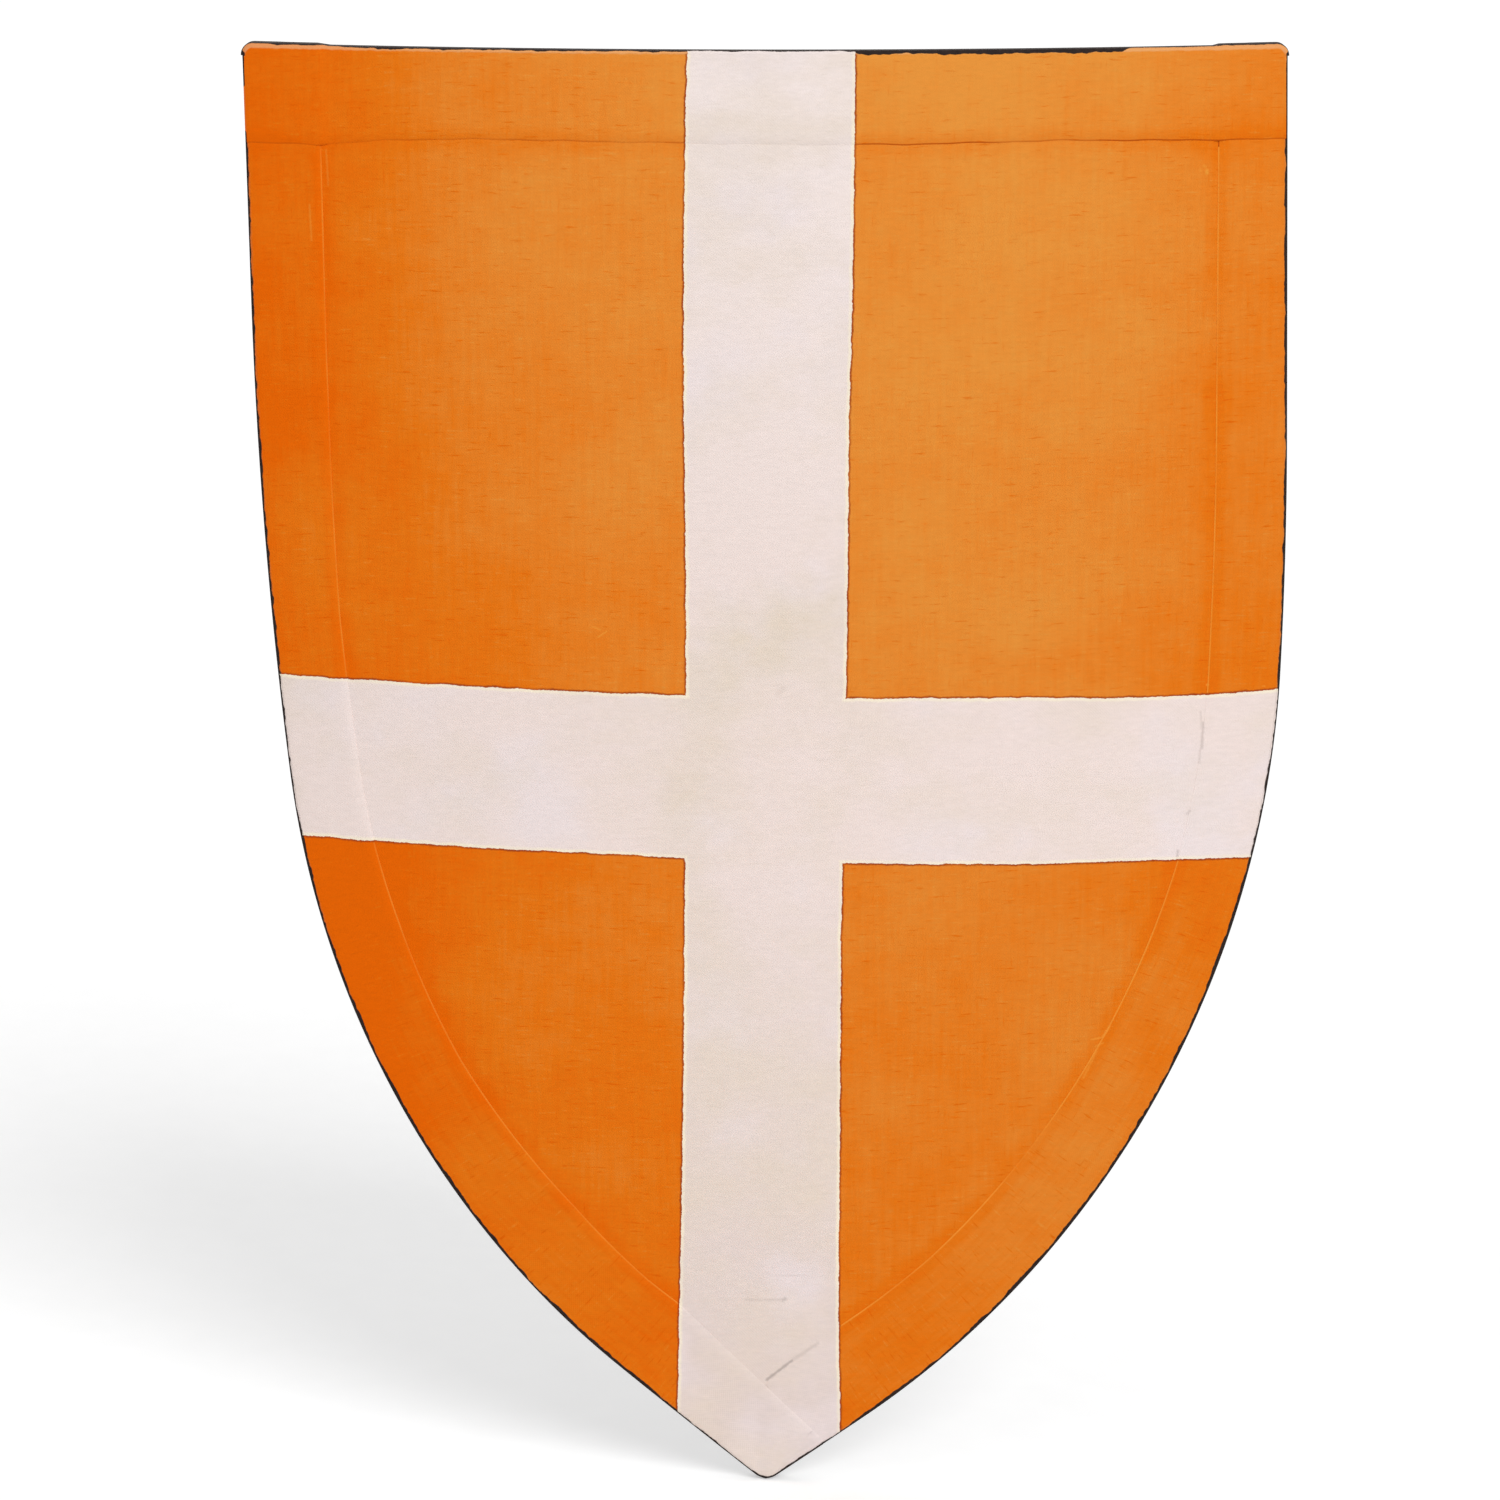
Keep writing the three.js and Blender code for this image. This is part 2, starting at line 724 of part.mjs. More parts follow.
const forearm = {
  width: forearmWidth,
  thickness: forearmThickness,
  height: forearmArch,
  topRadius: forearmTopRadius,
  bendRadius: forearmBendRadius,
  foot: forearmFoot,
  rise: forearmRiseAngle,
};

function forearmStrap() {
  const group = seat(forearmPlace, 0);
  const { bendStart } = archHalf(forearm);
  const z = bendStart + forearm.foot - forearmRivetInset;
  const x = forearmRivetSpacing / 2;
  const gripTop = seatRise(forearm.width) + forearm.thickness;
  const holes = riveted(group, 'forearm', [[-x, z], [x, z], [-x, -z], [x, -z]], gripTop);
  addPiece(group, 'forearm_strap', archStrap(forearm).subtract(holes), 'strapLeather');
}

const grip = {
  width: gripWidth,
  thickness: gripThickness,
  height: gripArch,
  topRadius: gripTopRadius,
  bendRadius: gripBendRadius,
  foot: gripFoot,
  rise: gripRiseAngle,
};

function handStrap() {
  const group = seat(gripPlace, 0);
  const { bendStart } = archHalf(grip);
  const outer = bendStart + grip.foot - gripRivetInset;
  const inner = outer - gripRivetSpacing;
  const gripTop = seatRise(grip.width) + grip.thickness;
  const holes = riveted(group, 'grip', [[0, outer], [0, inner], [0, -inner], [0, -outer]], gripTop);
  addPiece(group, 'grip_strap', archStrap(grip).subtract(holes), 'strapLeather');
  const onCrown = (reach, steps) => stepsBetween(reach, -reach, steps).map((a) => crownPoint(grip, a));
  const line = onCrown(gripWrapAngle * DEGREE, archSteps);
  const longer = onCrown(grip.rise * DEGREE, 2 * archSteps);
  const room = 2 * fitGap;
  const wall = 2 * gripWrapThickness;
  const outside = solid(acrossX(strapSection(line, grip.thickness + room + wall), grip.width + room + wall));
  const inside = solid(acrossX(strapSection(longer, grip.thickness + room), grip.width + room));
  addPiece(group, 'grip_wrap', outside.subtract(inside), 'padLeather');
}

// Shoulder strap fittings. Wire bars lie along X at one distance from the lining.

const foldRadius = wireRadius + fitGap + slingThickness / 2;
const barY = seatRise(slingWidth) + slingThickness / 2 + foldRadius;
const lapStep = slingThickness + fitGap;
const loopWidth = loopInnerWidth + 2 * wireRadius;
const tabTop = topHeight - tabInset;
const tabBarZ = tabTop - tabLength;
const strapBarZ = tabBarZ - loopDrop;
const frameBarZ = strapBarZ - buckleStrapLength;

// A fold round a bar, from its rear side to its front side; up is 1 over the bar and -1 under it.
// Each offset says how far that side's run lies outside the bar's middle where the fold closes.
function foldLine(z, up, rearOffset, frontOffset) {
  const leave = (offset) => (
    Math.atan2(offset, foldNeck) + Math.acos(foldRadius / Math.hypot(offset, foldNeck))
  );
  return stepsBetween(leave(rearOffset), 2 * Math.PI - leave(frontOffset), foldSteps)
    .map((a) => new THREE.Vector2(barY + foldRadius * Math.sin(a), z - up * foldRadius * Math.cos(a)));
}

function strapTab(group, label) {
  const flatY = seatRise(slingWidth) + slingThickness / 2;
  const lapY = flatY + slingThickness + fitGap;
  const line = [
    new THREE.Vector2(lapY, tabTop),
    new THREE.Vector2(lapY, tabBarZ + foldNeck),
    ...foldLine(tabBarZ, -1, lapY - barY, foldRadius),
    new THREE.Vector2(flatY, tabTop),
  ];
  const high = tabTop - tabRivetInset;
  const low = high - tabRivetSpacing;
  const gripTop = lapY + slingThickness / 2;
  const holes = riveted(group, label, [[0, high], [0, low]], gripTop);
  const tab = solid(acrossX(strapSection(line, slingThickness), slingWidth)).subtract(holes);
  addPiece(group, label, tab, 'strapLeather');
}

// A closed wire loop with rounded corners, whose upper bar lies at the height given
class LoopPath extends THREE.Curve {
  constructor(width, drop) {
    super();
    const x = width / 2 - loopCornerRadius;
    const z = drop / 2 - loopCornerRadius;
    const centres = [[x, z], [-x, z], [-x, -z], [x, -z]];
    this.points = centres.flatMap(([cx, cz], quarter) => stepsBetween(0, Math.PI / 2, wireCornerSteps)
      .map((a) => a + (quarter * Math.PI) / 2)
      .map((a) => new THREE.Vector3(
        cx + loopCornerRadius * Math.cos(a),
        0,
        cz + loopCornerRadius * Math.sin(a),
      )));
  }

  getPoint(t, target = new THREE.Vector3()) {
    const count = this.points.length;
    const place = (t - Math.floor(t)) * count;
    const start = Math.floor(place) % count;
    const share = place - Math.floor(place);
    return target.lerpVectors(this.points[start], this.points[(start + 1) % count], share);
  }

  getPointAt(t, target) {
    return this.getPoint(t, target);
  }
}

function wireLoop(width, drop, z) {
  const path = new LoopPath(width, drop);
  const geometry = new THREE.TubeGeometry(path, path.points.length, wireRadius, wireSteps, true);
  return geometry.translate(0, barY, z - drop / 2);
}

// The hanging strap's line: from the end folded back behind it, over the bar and straight down
function hangingLine(bottom) {
  return [
    new THREE.Vector2(barY + lapStep, strapBarZ - foldReturn),
    new THREE.Vector2(barY + lapStep, strapBarZ - foldNeck),
    ...foldLine(strapBarZ, 1, lapStep, 0),
    new THREE.Vector2(barY, strapBarZ - foldNeck),
    new THREE.Vector2(barY, bottom),
  ];
}

function longStrap(group) {
  const bottom = strapBarZ - longStrapLength;
  const strip = solid(acrossX(strapSection(hangingLine(bottom), slingThickness), slingWidth));
  const half = slingWidth / 2 + overrun;
  const point = [
    [-half, strapBarZ + overrun],
    [half, strapBarZ + overrun],
    [half, bottom + strapPointLength],
    [slingWidth / 2, bottom + strapPointLength],
    [strapPointWidth / 2, bottom],
    [-strapPointWidth / 2, bottom],
    [-slingWidth / 2, bottom + strapPointLength],
    [-half, bottom + strapPointLength],
  ].map(([x, z]) => new THREE.Vector2(x, z));
  const around = foldRadius + overrun;
  const plan = new THREE.Shape(point);
  const cut = new THREE.ExtrudeGeometry(plan, { depth: 2 * around, bevelEnabled: false });
  const template = solid(cut.rotateX(Math.PI / 2).translate(0, barY + around, 0));
  const holes = Array.from({ length: strapHoleCount }, (_, i) => {
    const z = bottom + strapHoleInset + i * strapHoleSpacing;
    const hole = new THREE.CylinderGeometry(strapHoleRadius, strapHoleRadius, 2 * around, roundSteps);
    return solid(hole.translate(0, barY, z));
  });
  addPiece(group, 'long_strap', strip.intersect(template).subtract(joined(holes)), 'strapLeather');
}

function buckleStrap(group) {
  const line = [
    ...hangingLine(frameBarZ + foldNeck),
    ...foldLine(frameBarZ, -1, lapStep, 0).reverse(),
    new THREE.Vector2(barY + lapStep, frameBarZ + foldNeck),
    new THREE.Vector2(barY + lapStep, frameBarZ + foldReturn),
  ];
  const half = prongSlotWidth / 2;
  const around = foldRadius + overrun;
  const slotTop = frameBarZ + prongSlotLength;
  const slot = box(-half, half, barY - around, barY + around, frameBarZ - around, slotTop);
  const strap = solid(acrossX(strapSection(line, slingThickness), slingWidth)).subtract(slot);
  addPiece(group, 'buckle_strap', strap, 'strapLeather');
}

// A short tube or eye that turns on a bar along X
function barSleeve(outerRadius, width, z) {
  const bore = wireRadius + fitGap;
  const profile = [
    [bore, -width / 2],
    [outerRadius, -width / 2],
    [outerRadius, width / 2],
    [bore, width / 2],
    [bore, -width / 2],
  ];
  return turned(profile, barSteps).rotateZ(-Math.PI / 2).translate(0, barY, z);
}

function prong() {
  const eye = solid(barSleeve(prongEyeRadius, prongEyeWidth, frameBarZ));
  const start = new THREE.Vector3(0, barY + (wireRadius + prongEyeRadius) / 2, frameBarZ - prongRadius);
  const rest = rollerRadius + fitGap + prongTipRadius;
  const end = new THREE.Vector3(0, barY + rest, frameBarZ - frameDrop - prongOverhang);
  const along = end.clone().sub(start);
  const shank = new THREE.CylinderGeometry(prongTipRadius, prongRadius, along.length(), wireSteps);
  shank.translate(0, along.length() / 2, 0);
  const turn = new THREE.Quaternion().setFromUnitVectors(new THREE.Vector3(0, 1, 0), along.normalize());
  shank.applyQuaternion(turn);
  shank.translate(start.x, start.y, start.z);
  const boreRadius = wireRadius + fitGap;
  const bore = new THREE.CylinderGeometry(boreRadius, boreRadius, 2 * prongEyeWidth, barSteps);
  bore.rotateZ(-Math.PI / 2).translate(0, barY, frameBarZ);
  return eye.add(solid(shank)).subtract(solid(bore));
}

function keeper() {
  const strapFront = barY - slingThickness / 2 - fitGap;
  const halfX = slingWidth / 2 + keeperSideRoom;
  const strapRear = strapFront + fitGap + 2 * slingThickness + keeperRoom;
  const bottom = frameBarZ + foldReturn + fitGap;
  const top = bottom + keeperHeight;
  const outer = [-halfX - keeperWall, halfX + keeperWall, strapFront - keeperWall, strapRear + keeperWall];
  const inner = [-halfX, halfX, strapFront, strapRear];
  return box(...outer, bottom, top).subtract(box(...inner, bottom - overrun, top + overrun));
}

function shoulderStrap() {
  const longSide = seat(slingPlace, 0);
  strapTab(longSide, 'strap_tab_left');
  addPiece(longSide, 'wire_loop_left', wireLoop(loopWidth, loopDrop, tabBarZ), 'iron');
  longStrap(longSide);
  const buckleSide = seat(-slingPlace, 0);
  strapTab(buckleSide, 'strap_tab_right');
  addPiece(buckleSide, 'wire_loop_right', wireLoop(loopWidth, loopDrop, tabBarZ), 'iron');
  buckleStrap(buckleSide);
  addPiece(buckleSide, 'buckle_frame', wireLoop(loopWidth, frameDrop, frameBarZ), 'iron');
  const rollerWidth = loopWidth - 2 * (loopCornerRadius + rollerEndGap);
  addPiece(buckleSide, 'buckle_roller', barSleeve(rollerRadius, rollerWidth, frameBarZ - frameDrop), 'iron');
  addPiece(buckleSide, 'buckle_prong', prong(), 'iron');
  addPiece(buckleSide, 'strap_keeper', keeper(), 'strapLeather');
}

const tackHoles = armPad();
forearmStrap();
handStrap();
shoulderStrap();

const rivetHoles = joined(boardDrills);
const allHoles = rivetHoles.add(tackHoles);
addPiece(shield, 'front_cover', boardLayer(coverLevel, coverThickness), 'paintedLinen');
addPiece(shield, 'front_ply', boardLayer(frontPlyLevel, plyThickness).subtract(rivetHoles), 'plywood');
addPiece(shield, 'middle_ply', boardLayer(middlePlyLevel, plyThickness).subtract(rivetHoles), 'plywood');
addPiece(shield, 'back_ply', boardLayer(backPlyLevel, plyThickness).subtract(allHoles), 'plywood');
addPiece(shield, 'back_lining', boardLayer(liningLevel, liningThickness).subtract(allHoles), 'lining');
addPiece(shield, 'edge_strip_left', sideStrip(left).add(tipLap()), 'paintedLinen');
addPiece(shield, 'edge_strip_right', sideStrip(right), 'paintedLinen');
addPiece(shield, 'edge_strip_top', topStrip(), 'paintedLinen');

export default shield;
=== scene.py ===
"""A bent heater shield in painted linen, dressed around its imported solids.

Metres, +Z up. The painted front faces -Y and the bearer stands on the +Y side.
"""

import logging
import math
from dataclasses import dataclass, field
from enum import Enum
from typing import Callable, Iterable, Sequence

import bmesh
import bpy
import numpy as np
from mathutils import Matrix, Vector


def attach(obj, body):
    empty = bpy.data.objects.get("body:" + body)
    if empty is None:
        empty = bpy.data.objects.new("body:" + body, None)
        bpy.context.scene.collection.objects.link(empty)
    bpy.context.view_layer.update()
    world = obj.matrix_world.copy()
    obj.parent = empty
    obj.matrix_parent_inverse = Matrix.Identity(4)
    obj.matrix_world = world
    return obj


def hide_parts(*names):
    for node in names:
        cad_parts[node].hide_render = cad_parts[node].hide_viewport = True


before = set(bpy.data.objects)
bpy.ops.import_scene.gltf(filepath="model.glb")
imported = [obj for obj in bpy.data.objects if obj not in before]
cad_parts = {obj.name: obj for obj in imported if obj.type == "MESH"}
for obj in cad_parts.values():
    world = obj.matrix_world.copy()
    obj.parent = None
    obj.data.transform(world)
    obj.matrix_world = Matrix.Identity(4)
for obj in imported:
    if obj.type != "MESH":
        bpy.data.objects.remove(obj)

LOG = logging.getLogger("shield")
MILLIMETRE = 0.001
Pair = tuple[float, float]
Colour = tuple[float, float, float]
Piece = bpy.types.Object
Material = bpy.types.Material
Socket = bpy.types.NodeSocket
Outputs = bpy.types.bpy_prop_collection
Value = Socket | float | Colour
Inputs = dict[str | int, object]


class Body(Enum):
    """The bodies of the frame that pieces ride on."""

    BOARD = "board"
    LOOP_LEFT = "loop_left"
    LOOP_RIGHT = "loop_right"
    LONG_STRAP = "long_strap"
    BUCKLE_STRAP = "buckle_strap"
    BUCKLE_FRAME = "buckle_frame"
    BUCKLE_PRONG = "buckle_prong"
    BUCKLE_ROLLER = "buckle_roller"
    KEEPER = "keeper"


class Slot(Enum):
    """The record's material slots."""

    PAINTED_LINEN = "painted_linen"
    BACK_LINEN = "back_linen"
    STRAP_LEATHER = "strap_leather"
    SOFT_LEATHER = "soft_leather"
    COPPER = "copper"
    BRASS = "brass"
    IRON = "iron"


def linear(red: int, green: int, blue: int) -> Colour:
    """Turns a display colour into scene values.

    Args:
        red: Red from 0 to 255.
        green: Green from 0 to 255.
        blue: Blue from 0 to 255.

    Returns:
        The linear colour.
    """
    def one(value: int) -> float:
        """Returns one channel in linear light."""
        share = value / 255
        return share / 12.92 if share <= 0.04045 else ((share + 0.055) / 1.055) ** 2.4

    return one(red), one(green), one(blue)


def smooth(low: float, high: float, value: float) -> float:
    """Rises smoothly from 0 at low to 1 at high.

    Args:
        low: Where the rise starts.
        high: Where the rise ends.
        value: Where it is read.

    Returns:
        The share from 0 to 1.
    """
    share = min(max((value - low) / (high - low), 0.0), 1.0)
    return share * share * (3 - 2 * share)


# The board and its outline


@dataclass(frozen=True)
class Board:
    """The bent board: a piece of a wide cylinder whose axis is upright.

    A depth is measured from the outermost front face towards the bearer.
    """

    bend_radius: float = 0.800
    axis_y: float = 0.7701
    top: float = 0.310
    tip: float = 0.4744
    corner_radius: float = 0.005
    tip_radius: float = 0.009
    strip_level: float = 0.0010
    cover_level: float = 0.0020
    rear_level: float = 0.0119
    strip_rear: float = 0.0129

    def place(self, x: float, z: float, depth: float) -> Vector:
        """Puts a point of the outline's plane on the bent board.

        Args:
            x: Across the board.
            z: Up the board.
            depth: Depth below the outermost front face.

        Returns:
            The point.
        """
        radius = self.bend_radius - depth
        return Vector((x, self.axis_y - math.sqrt(radius * radius - x * x), z))

    def rear_radius(self) -> float:
        """Returns the radius of the hollow side's face."""
        return self.bend_radius - self.rear_level

    def seat(self, x: float, z: float = 0.0) -> Matrix:
        """Makes a frame on the hollow side: X along the board, Y towards the bearer.

        Args:
            x: Across the board.
            z: Up the board.

        Returns:
            The frame as a matrix.
        """
        angle = math.asin(x / self.rear_radius())
        y = self.axis_y - self.rear_radius() * math.cos(angle)
        return Matrix.Translation((x, y, z)) @ Matrix.Rotation(angle, 4, "Z")

    def seat_rise(self, width: float, gap: float = 0.0003) -> float:
        """Says how far a flat strap stands off the hollow side.

        Args:
            width: The strap's width.
            gap: Clearance at its edges.

        Returns:
            The rise over the seat's middle.
        """
        radius = self.rear_radius()
        return gap + radius - math.sqrt(radius * radius - width * width / 4)


BOARD = Board()


@dataclass(frozen=True)
class Station:
    """A point of the outline and the direction that faces out of the board there."""

    point: Vector
    normal: Vector


@dataclass(frozen=True)
class Side:
    """One side of the outline: a straight, a wide shoulder arc, a flank arc and a straight to the tip."""

    sign: int
    half_width: float
    straight: float
    shoulder_radius: float
    lean: float
    turn: float
    point_straight: float

    @staticmethod
    def outward(angle: float) -> Vector:
        """Returns the outward direction where the side has turned by this angle."""
        return Vector((math.cos(angle), -math.sin(angle)))

    @staticmethod
    def heading(angle: float) -> Vector:
        """Returns the direction of travel where the side has turned by this angle."""
        return Vector((-math.sin(angle), -math.cos(angle)))

    def arcs(self) -> tuple[Vector, Vector, float, float]:
        """Works out the two arcs.

        Returns:
            The shoulder's centre, the flank's centre, its radius and how far it has turned at its end.
        """
        corner = Vector((self.half_width, BOARD.top))
        shoulder = corner + self.heading(self.lean) * self.straight
        shoulder_centre = shoulder - self.outward(self.lean) * self.shoulder_radius
        flank = shoulder_centre + self.outward(self.turn) * self.shoulder_radius
        to_tip = Vector((0, -BOARD.tip)) - flank
        inwards = -to_tip.dot(self.outward(self.turn))
        radius = (to_tip.length_squared - self.point_straight**2) / (2 * inwards)
        turned = math.atan2(to_tip.dot(self.heading(self.turn)), radius - inwards)
        turned -= math.atan2(self.point_straight, radius)
        return shoulder_centre, flank - self.outward(self.turn) * radius, radius, self.turn + turned

    def stations(self, tip: Vector, step: float = 0.004) -> list[Station]:
        """Lists stations from the middle of the top corner's arc to the tip's middle.

        Args:
            tip: Centre of the rounded tip, as seen on this side.
            step: Longest distance between stations.

        Returns:
            The stations, top to bottom, on this side of the board.
        """
        shoulder_centre, flank_centre, flank_radius, last = self.arcs()
        inset = BOARD.corner_radius * (1 + math.sin(self.lean)) / math.cos(self.lean)
        corner_centre = Vector((self.half_width - inset, BOARD.top - BOARD.corner_radius))
        shoulder = shoulder_centre + self.outward(self.lean) * self.shoulder_radius
        found: list[tuple[Vector, float]] = []

        def arc(centre: Vector, radius: float, start: float, end: float, fewest: int) -> None:
            """Adds an arc's stations.

            Args:
                centre: The arc's centre.
                radius: Its radius.
                start: Its first angle.
                end: Its last angle.
                fewest: The fewest stretches that it may have.
            """
            count = max(fewest, math.ceil(radius * abs(end - start) / step))
            for i in range(count + 1):
                angle = start + (end - start) * i / count
                found.append((centre + self.outward(angle) * radius, angle))

        def straight(end: Vector, angle: float) -> None:
            """Adds a straight's stations from the last one on.

            Args:
                end: Where the straight ends.
                angle: Its angle.
            """
            start = found[-1][0]
            count = math.ceil((end - start).length / step)
            found.extend((start.lerp(end, i / count), angle) for i in range(1, count))

        arc(corner_centre, BOARD.corner_radius, -math.pi / 2, self.lean, 8)
        straight(shoulder, self.lean)
        arc(shoulder_centre, self.shoulder_radius, self.lean, self.turn, 4)
        arc(flank_centre, flank_radius, self.turn, last, 4)
        straight(tip + self.outward(last) * BOARD.tip_radius, last)
        arc(tip, BOARD.tip_radius, last, math.pi / 2, 8)
        kept = [found[0]] + [b for a, b in zip(found, found[1:]) if (a[0] - b[0]).length > 1e-6]
        flip = Vector((self.sign, 1))
        return [Station(p * flip, self.outward(a) * flip) for p, a in kept]


LEFT = Side(-1, 0.2805, 0.140, 2.640, math.radians(1.25), math.radians(6.8), 0.103)
RIGHT = Side(1, 0.2785, 0.210, 2.370, math.radians(-0.9), math.radians(2.25), 0.065)


def tip_centre() -> Vector:
    """Finds the centre of the rounded tip, which touches both straights.

    Returns:
        The centre.
    """
    a = RIGHT.outward(RIGHT.arcs()[3])
    b = LEFT.outward(LEFT.arcs()[3]) * Vector((-1, 1))
    return Vector((0, -BOARD.tip)) - (a + b) * (BOARD.tip_radius / (1 + a.dot(b)))


TIP_CENTRE = tip_centre()
LEFT_STATIONS = LEFT.stations(Vector((-TIP_CENTRE.x, TIP_CENTRE.y)))
RIGHT_STATIONS = RIGHT.stations(TIP_CENTRE)
LEFT_POINTS = np.array([s.point for s in LEFT_STATIONS])
RIGHT_POINTS = np.array([s.point for s in RIGHT_STATIONS])


# Meshes


def mesh_object(
    name: str, points: Sequence, faces: Sequence, edges: Sequence[tuple[int, int]] = ()
) -> Piece:
    """Makes an object at the origin from points and faces.

    Args:
        name: The piece's name.
        points: Its corners in metres.
        faces: Its faces as corner numbers.
        edges: Its edges as corner numbers, where they belong to no face.

    Returns:
        The object, linked to the scene.
    """
    mesh = bpy.data.meshes.new(name)
    mesh.from_pydata([tuple(p) for p in points], list(edges), [tuple(f) for f in faces])
    mesh.update()
    piece = bpy.data.objects.new(name, mesh)
    bpy.context.scene.collection.objects.link(piece)
    return piece


def ring_faces(count: int, rings: int) -> list[tuple[int, ...]]:
    """Lists the faces between rings of points that follow one another.

    Args:
        count: Points in each ring.
        rings: Number of rings.

    Returns:
        The faces as corner numbers, without the two ends.
    """
    pairs = [(j, (j + 1) % count) for j in range(count)]
    return [
        (near + j, near + k, near + count + k, near + count + j)
        for near in range(0, (rings - 1) * count, count)
        for j, k in pairs
    ]


def sideways(seat: Matrix) -> Vector:
    """Returns the direction across a seat."""
    return seat.to_3x3() @ Vector((1, 0, 0))


def shade(piece: Piece, sharp_degrees: float = 40.0) -> None:
    """Shades a piece smooth except across sharp edges.

    Args:
        piece: The piece.
        sharp_degrees: Edges that turn more than this stay sharp.
    """
    piece.data.shade_smooth()
    piece.data.set_sharp_from_angle(angle=math.radians(sharp_degrees))


def store(piece: Piece, name: str, values: Iterable[float]) -> None:
    """Stores one number for each corner of a mesh, for its material.

    Args:
        piece: The piece.
        name: The attribute's name.
        values: One number for each corner.
    """
    attribute = piece.data.attributes.new(name, "FLOAT", "POINT")
    attribute.data.foreach_set("value", np.fromiter(values, np.float32))


def store_map(piece: Piece, name: str, places: Sequence[Pair]) -> None:
    """Stores a UV map in metres from one place for each corner.

    Args:
        piece: The piece.
        name: The map's name.
        places: One pair for each corner.
    """
    layer = piece.data.uv_layers.new(name=name)
    table = np.array(places, np.float32)
    corners = np.zeros(len(piece.data.loops), np.int32)
    piece.data.loops.foreach_get("vertex_index", corners)
    layer.uv.foreach_set("vector", table[corners].ravel())


def settle(
    piece: Piece,
    material: Material,
    body: Body,
    slot: Slot,
    *nodes: str,
) -> Piece:
    """Dresses a finished piece and fixes it to its body.

    Args:
        piece: The piece.
        material: Its finish.
        body: The body that it moves with.
        slot: The record's material slot; not used.
        nodes: The solids that it stands for.

    Returns:
        The piece.
    """
    piece.data.materials.clear()
    piece.data.materials.append(material)
    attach(piece, body.value)
    if nodes:
        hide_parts(*nodes)
    LOG.info("%s rides on %s", piece.name, body.value)
    return piece


def apply_modifiers(piece: Piece) -> Piece:
    """Turns a piece with modifiers into a plain mesh.

    Args:
        piece: The piece.

    Returns:
        The same object with its evaluated mesh and no modifiers.
    """
    graph = bpy.context.evaluated_depsgraph_get()
    graph.update()
    mesh = bpy.data.meshes.new_from_object(
        piece.evaluated_get(graph), preserve_all_data_layers=True, depsgraph=graph
    )
    piece.modifiers.clear()
    old = piece.data
    piece.data = mesh
    bpy.data.meshes.remove(old)
    mesh.name = piece.name
    return piece


# Node trees


class Nodes:
    """A node tree that is built up line by line."""

    def __init__(self, tree: bpy.types.NodeTree) -> None:
        """Starts on an existing tree."""
        self.tree = tree

    def fill(self, node: bpy.types.Node, values: Inputs) -> None:
        """Links or sets a node's inputs.

        Args:
            node: The node.
            values: Input name or number to a socket or a plain value.
        """
        for key, value in values.items():
            into = node.inputs[key]
            if isinstance(value, Socket):
                self.tree.links.new(value, into)
            else:
                into.default_value = (*value, 1.0) if into.type == "RGBA" else value

    def add(self, kind: str, values: Inputs | None = None, **settings: object) -> bpy.types.Node:
        """Adds a node.

        Args:
            kind: The node's type.
            values: Input name or number to a socket or a plain value.
            settings: The node's own settings.

        Returns:
            The node.
        """
        node = self.tree.nodes.new(kind)
        for key, value in settings.items():
            setattr(node, key, value)
        self.fill(node, values or {})
        return node


class Tree(Nodes):
    """A geometry node tree with one mesh in and one mesh out."""

    def __init__(self, name: str) -> None:
        """Starts the tree.

        Args:
            name: The tree's name.
        """
        super().__init__(bpy.data.node_groups.new(name, "GeometryNodeTree"))
        for way in ("INPUT", "OUTPUT"):
            self.tree.interface.new_socket("Geometry", in_out=way, socket_type="NodeSocketGeometry")
        self.start = self.tree.nodes.new("NodeGroupInput")
        self.end = self.tree.nodes.new("NodeGroupOutput")

    def size(self, name: str, default: float) -> None:
        """Adds a named length input.

        Args:
            name: The input's name.
            default: Its value where none is given.
        """
        made = self.tree.interface.new_socket(name, in_out="INPUT", socket_type="NodeSocketFloat")
        made.default_value = default

    def choice(self, name: str, kind: str) -> None:
        """Adds a named input of another kind, such as a material."""
        self.tree.interface.new_socket(name, in_out="INPUT", socket_type=kind)

    def close(self, geometry: Socket, material: Socket) -> None:
        """Ends the tree in real geometry with its material.

        Args:
            geometry: What the tree has made.
            material: The material input.
        """
        real = self.add("GeometryNodeRealizeInstances", {0: geometry})
        dressed = self.add("GeometryNodeSetMaterial", {0: real.outputs[0], "Material": material})
        self.tree.links.new(dressed.outputs[0], self.end.inputs[0])

    def run(self, piece: Piece, values: dict[str, object]) -> Piece:
        """Runs the tree on a piece and keeps the plain result.

        Args:
            piece: The piece that the tree starts from.
            values: Input name to value.

        Returns:
            The piece with the tree's result as its mesh.
        """
        modifier = piece.modifiers.new(self.tree.name, "NODES")
        modifier.node_group = self.tree
        for item in self.tree.interface.items_tree:
            if item.item_type == "SOCKET" and item.in_out == "INPUT" and item.name in values:
                modifier[item.identifier] = values[item.name]
        return apply_modifiers(piece)


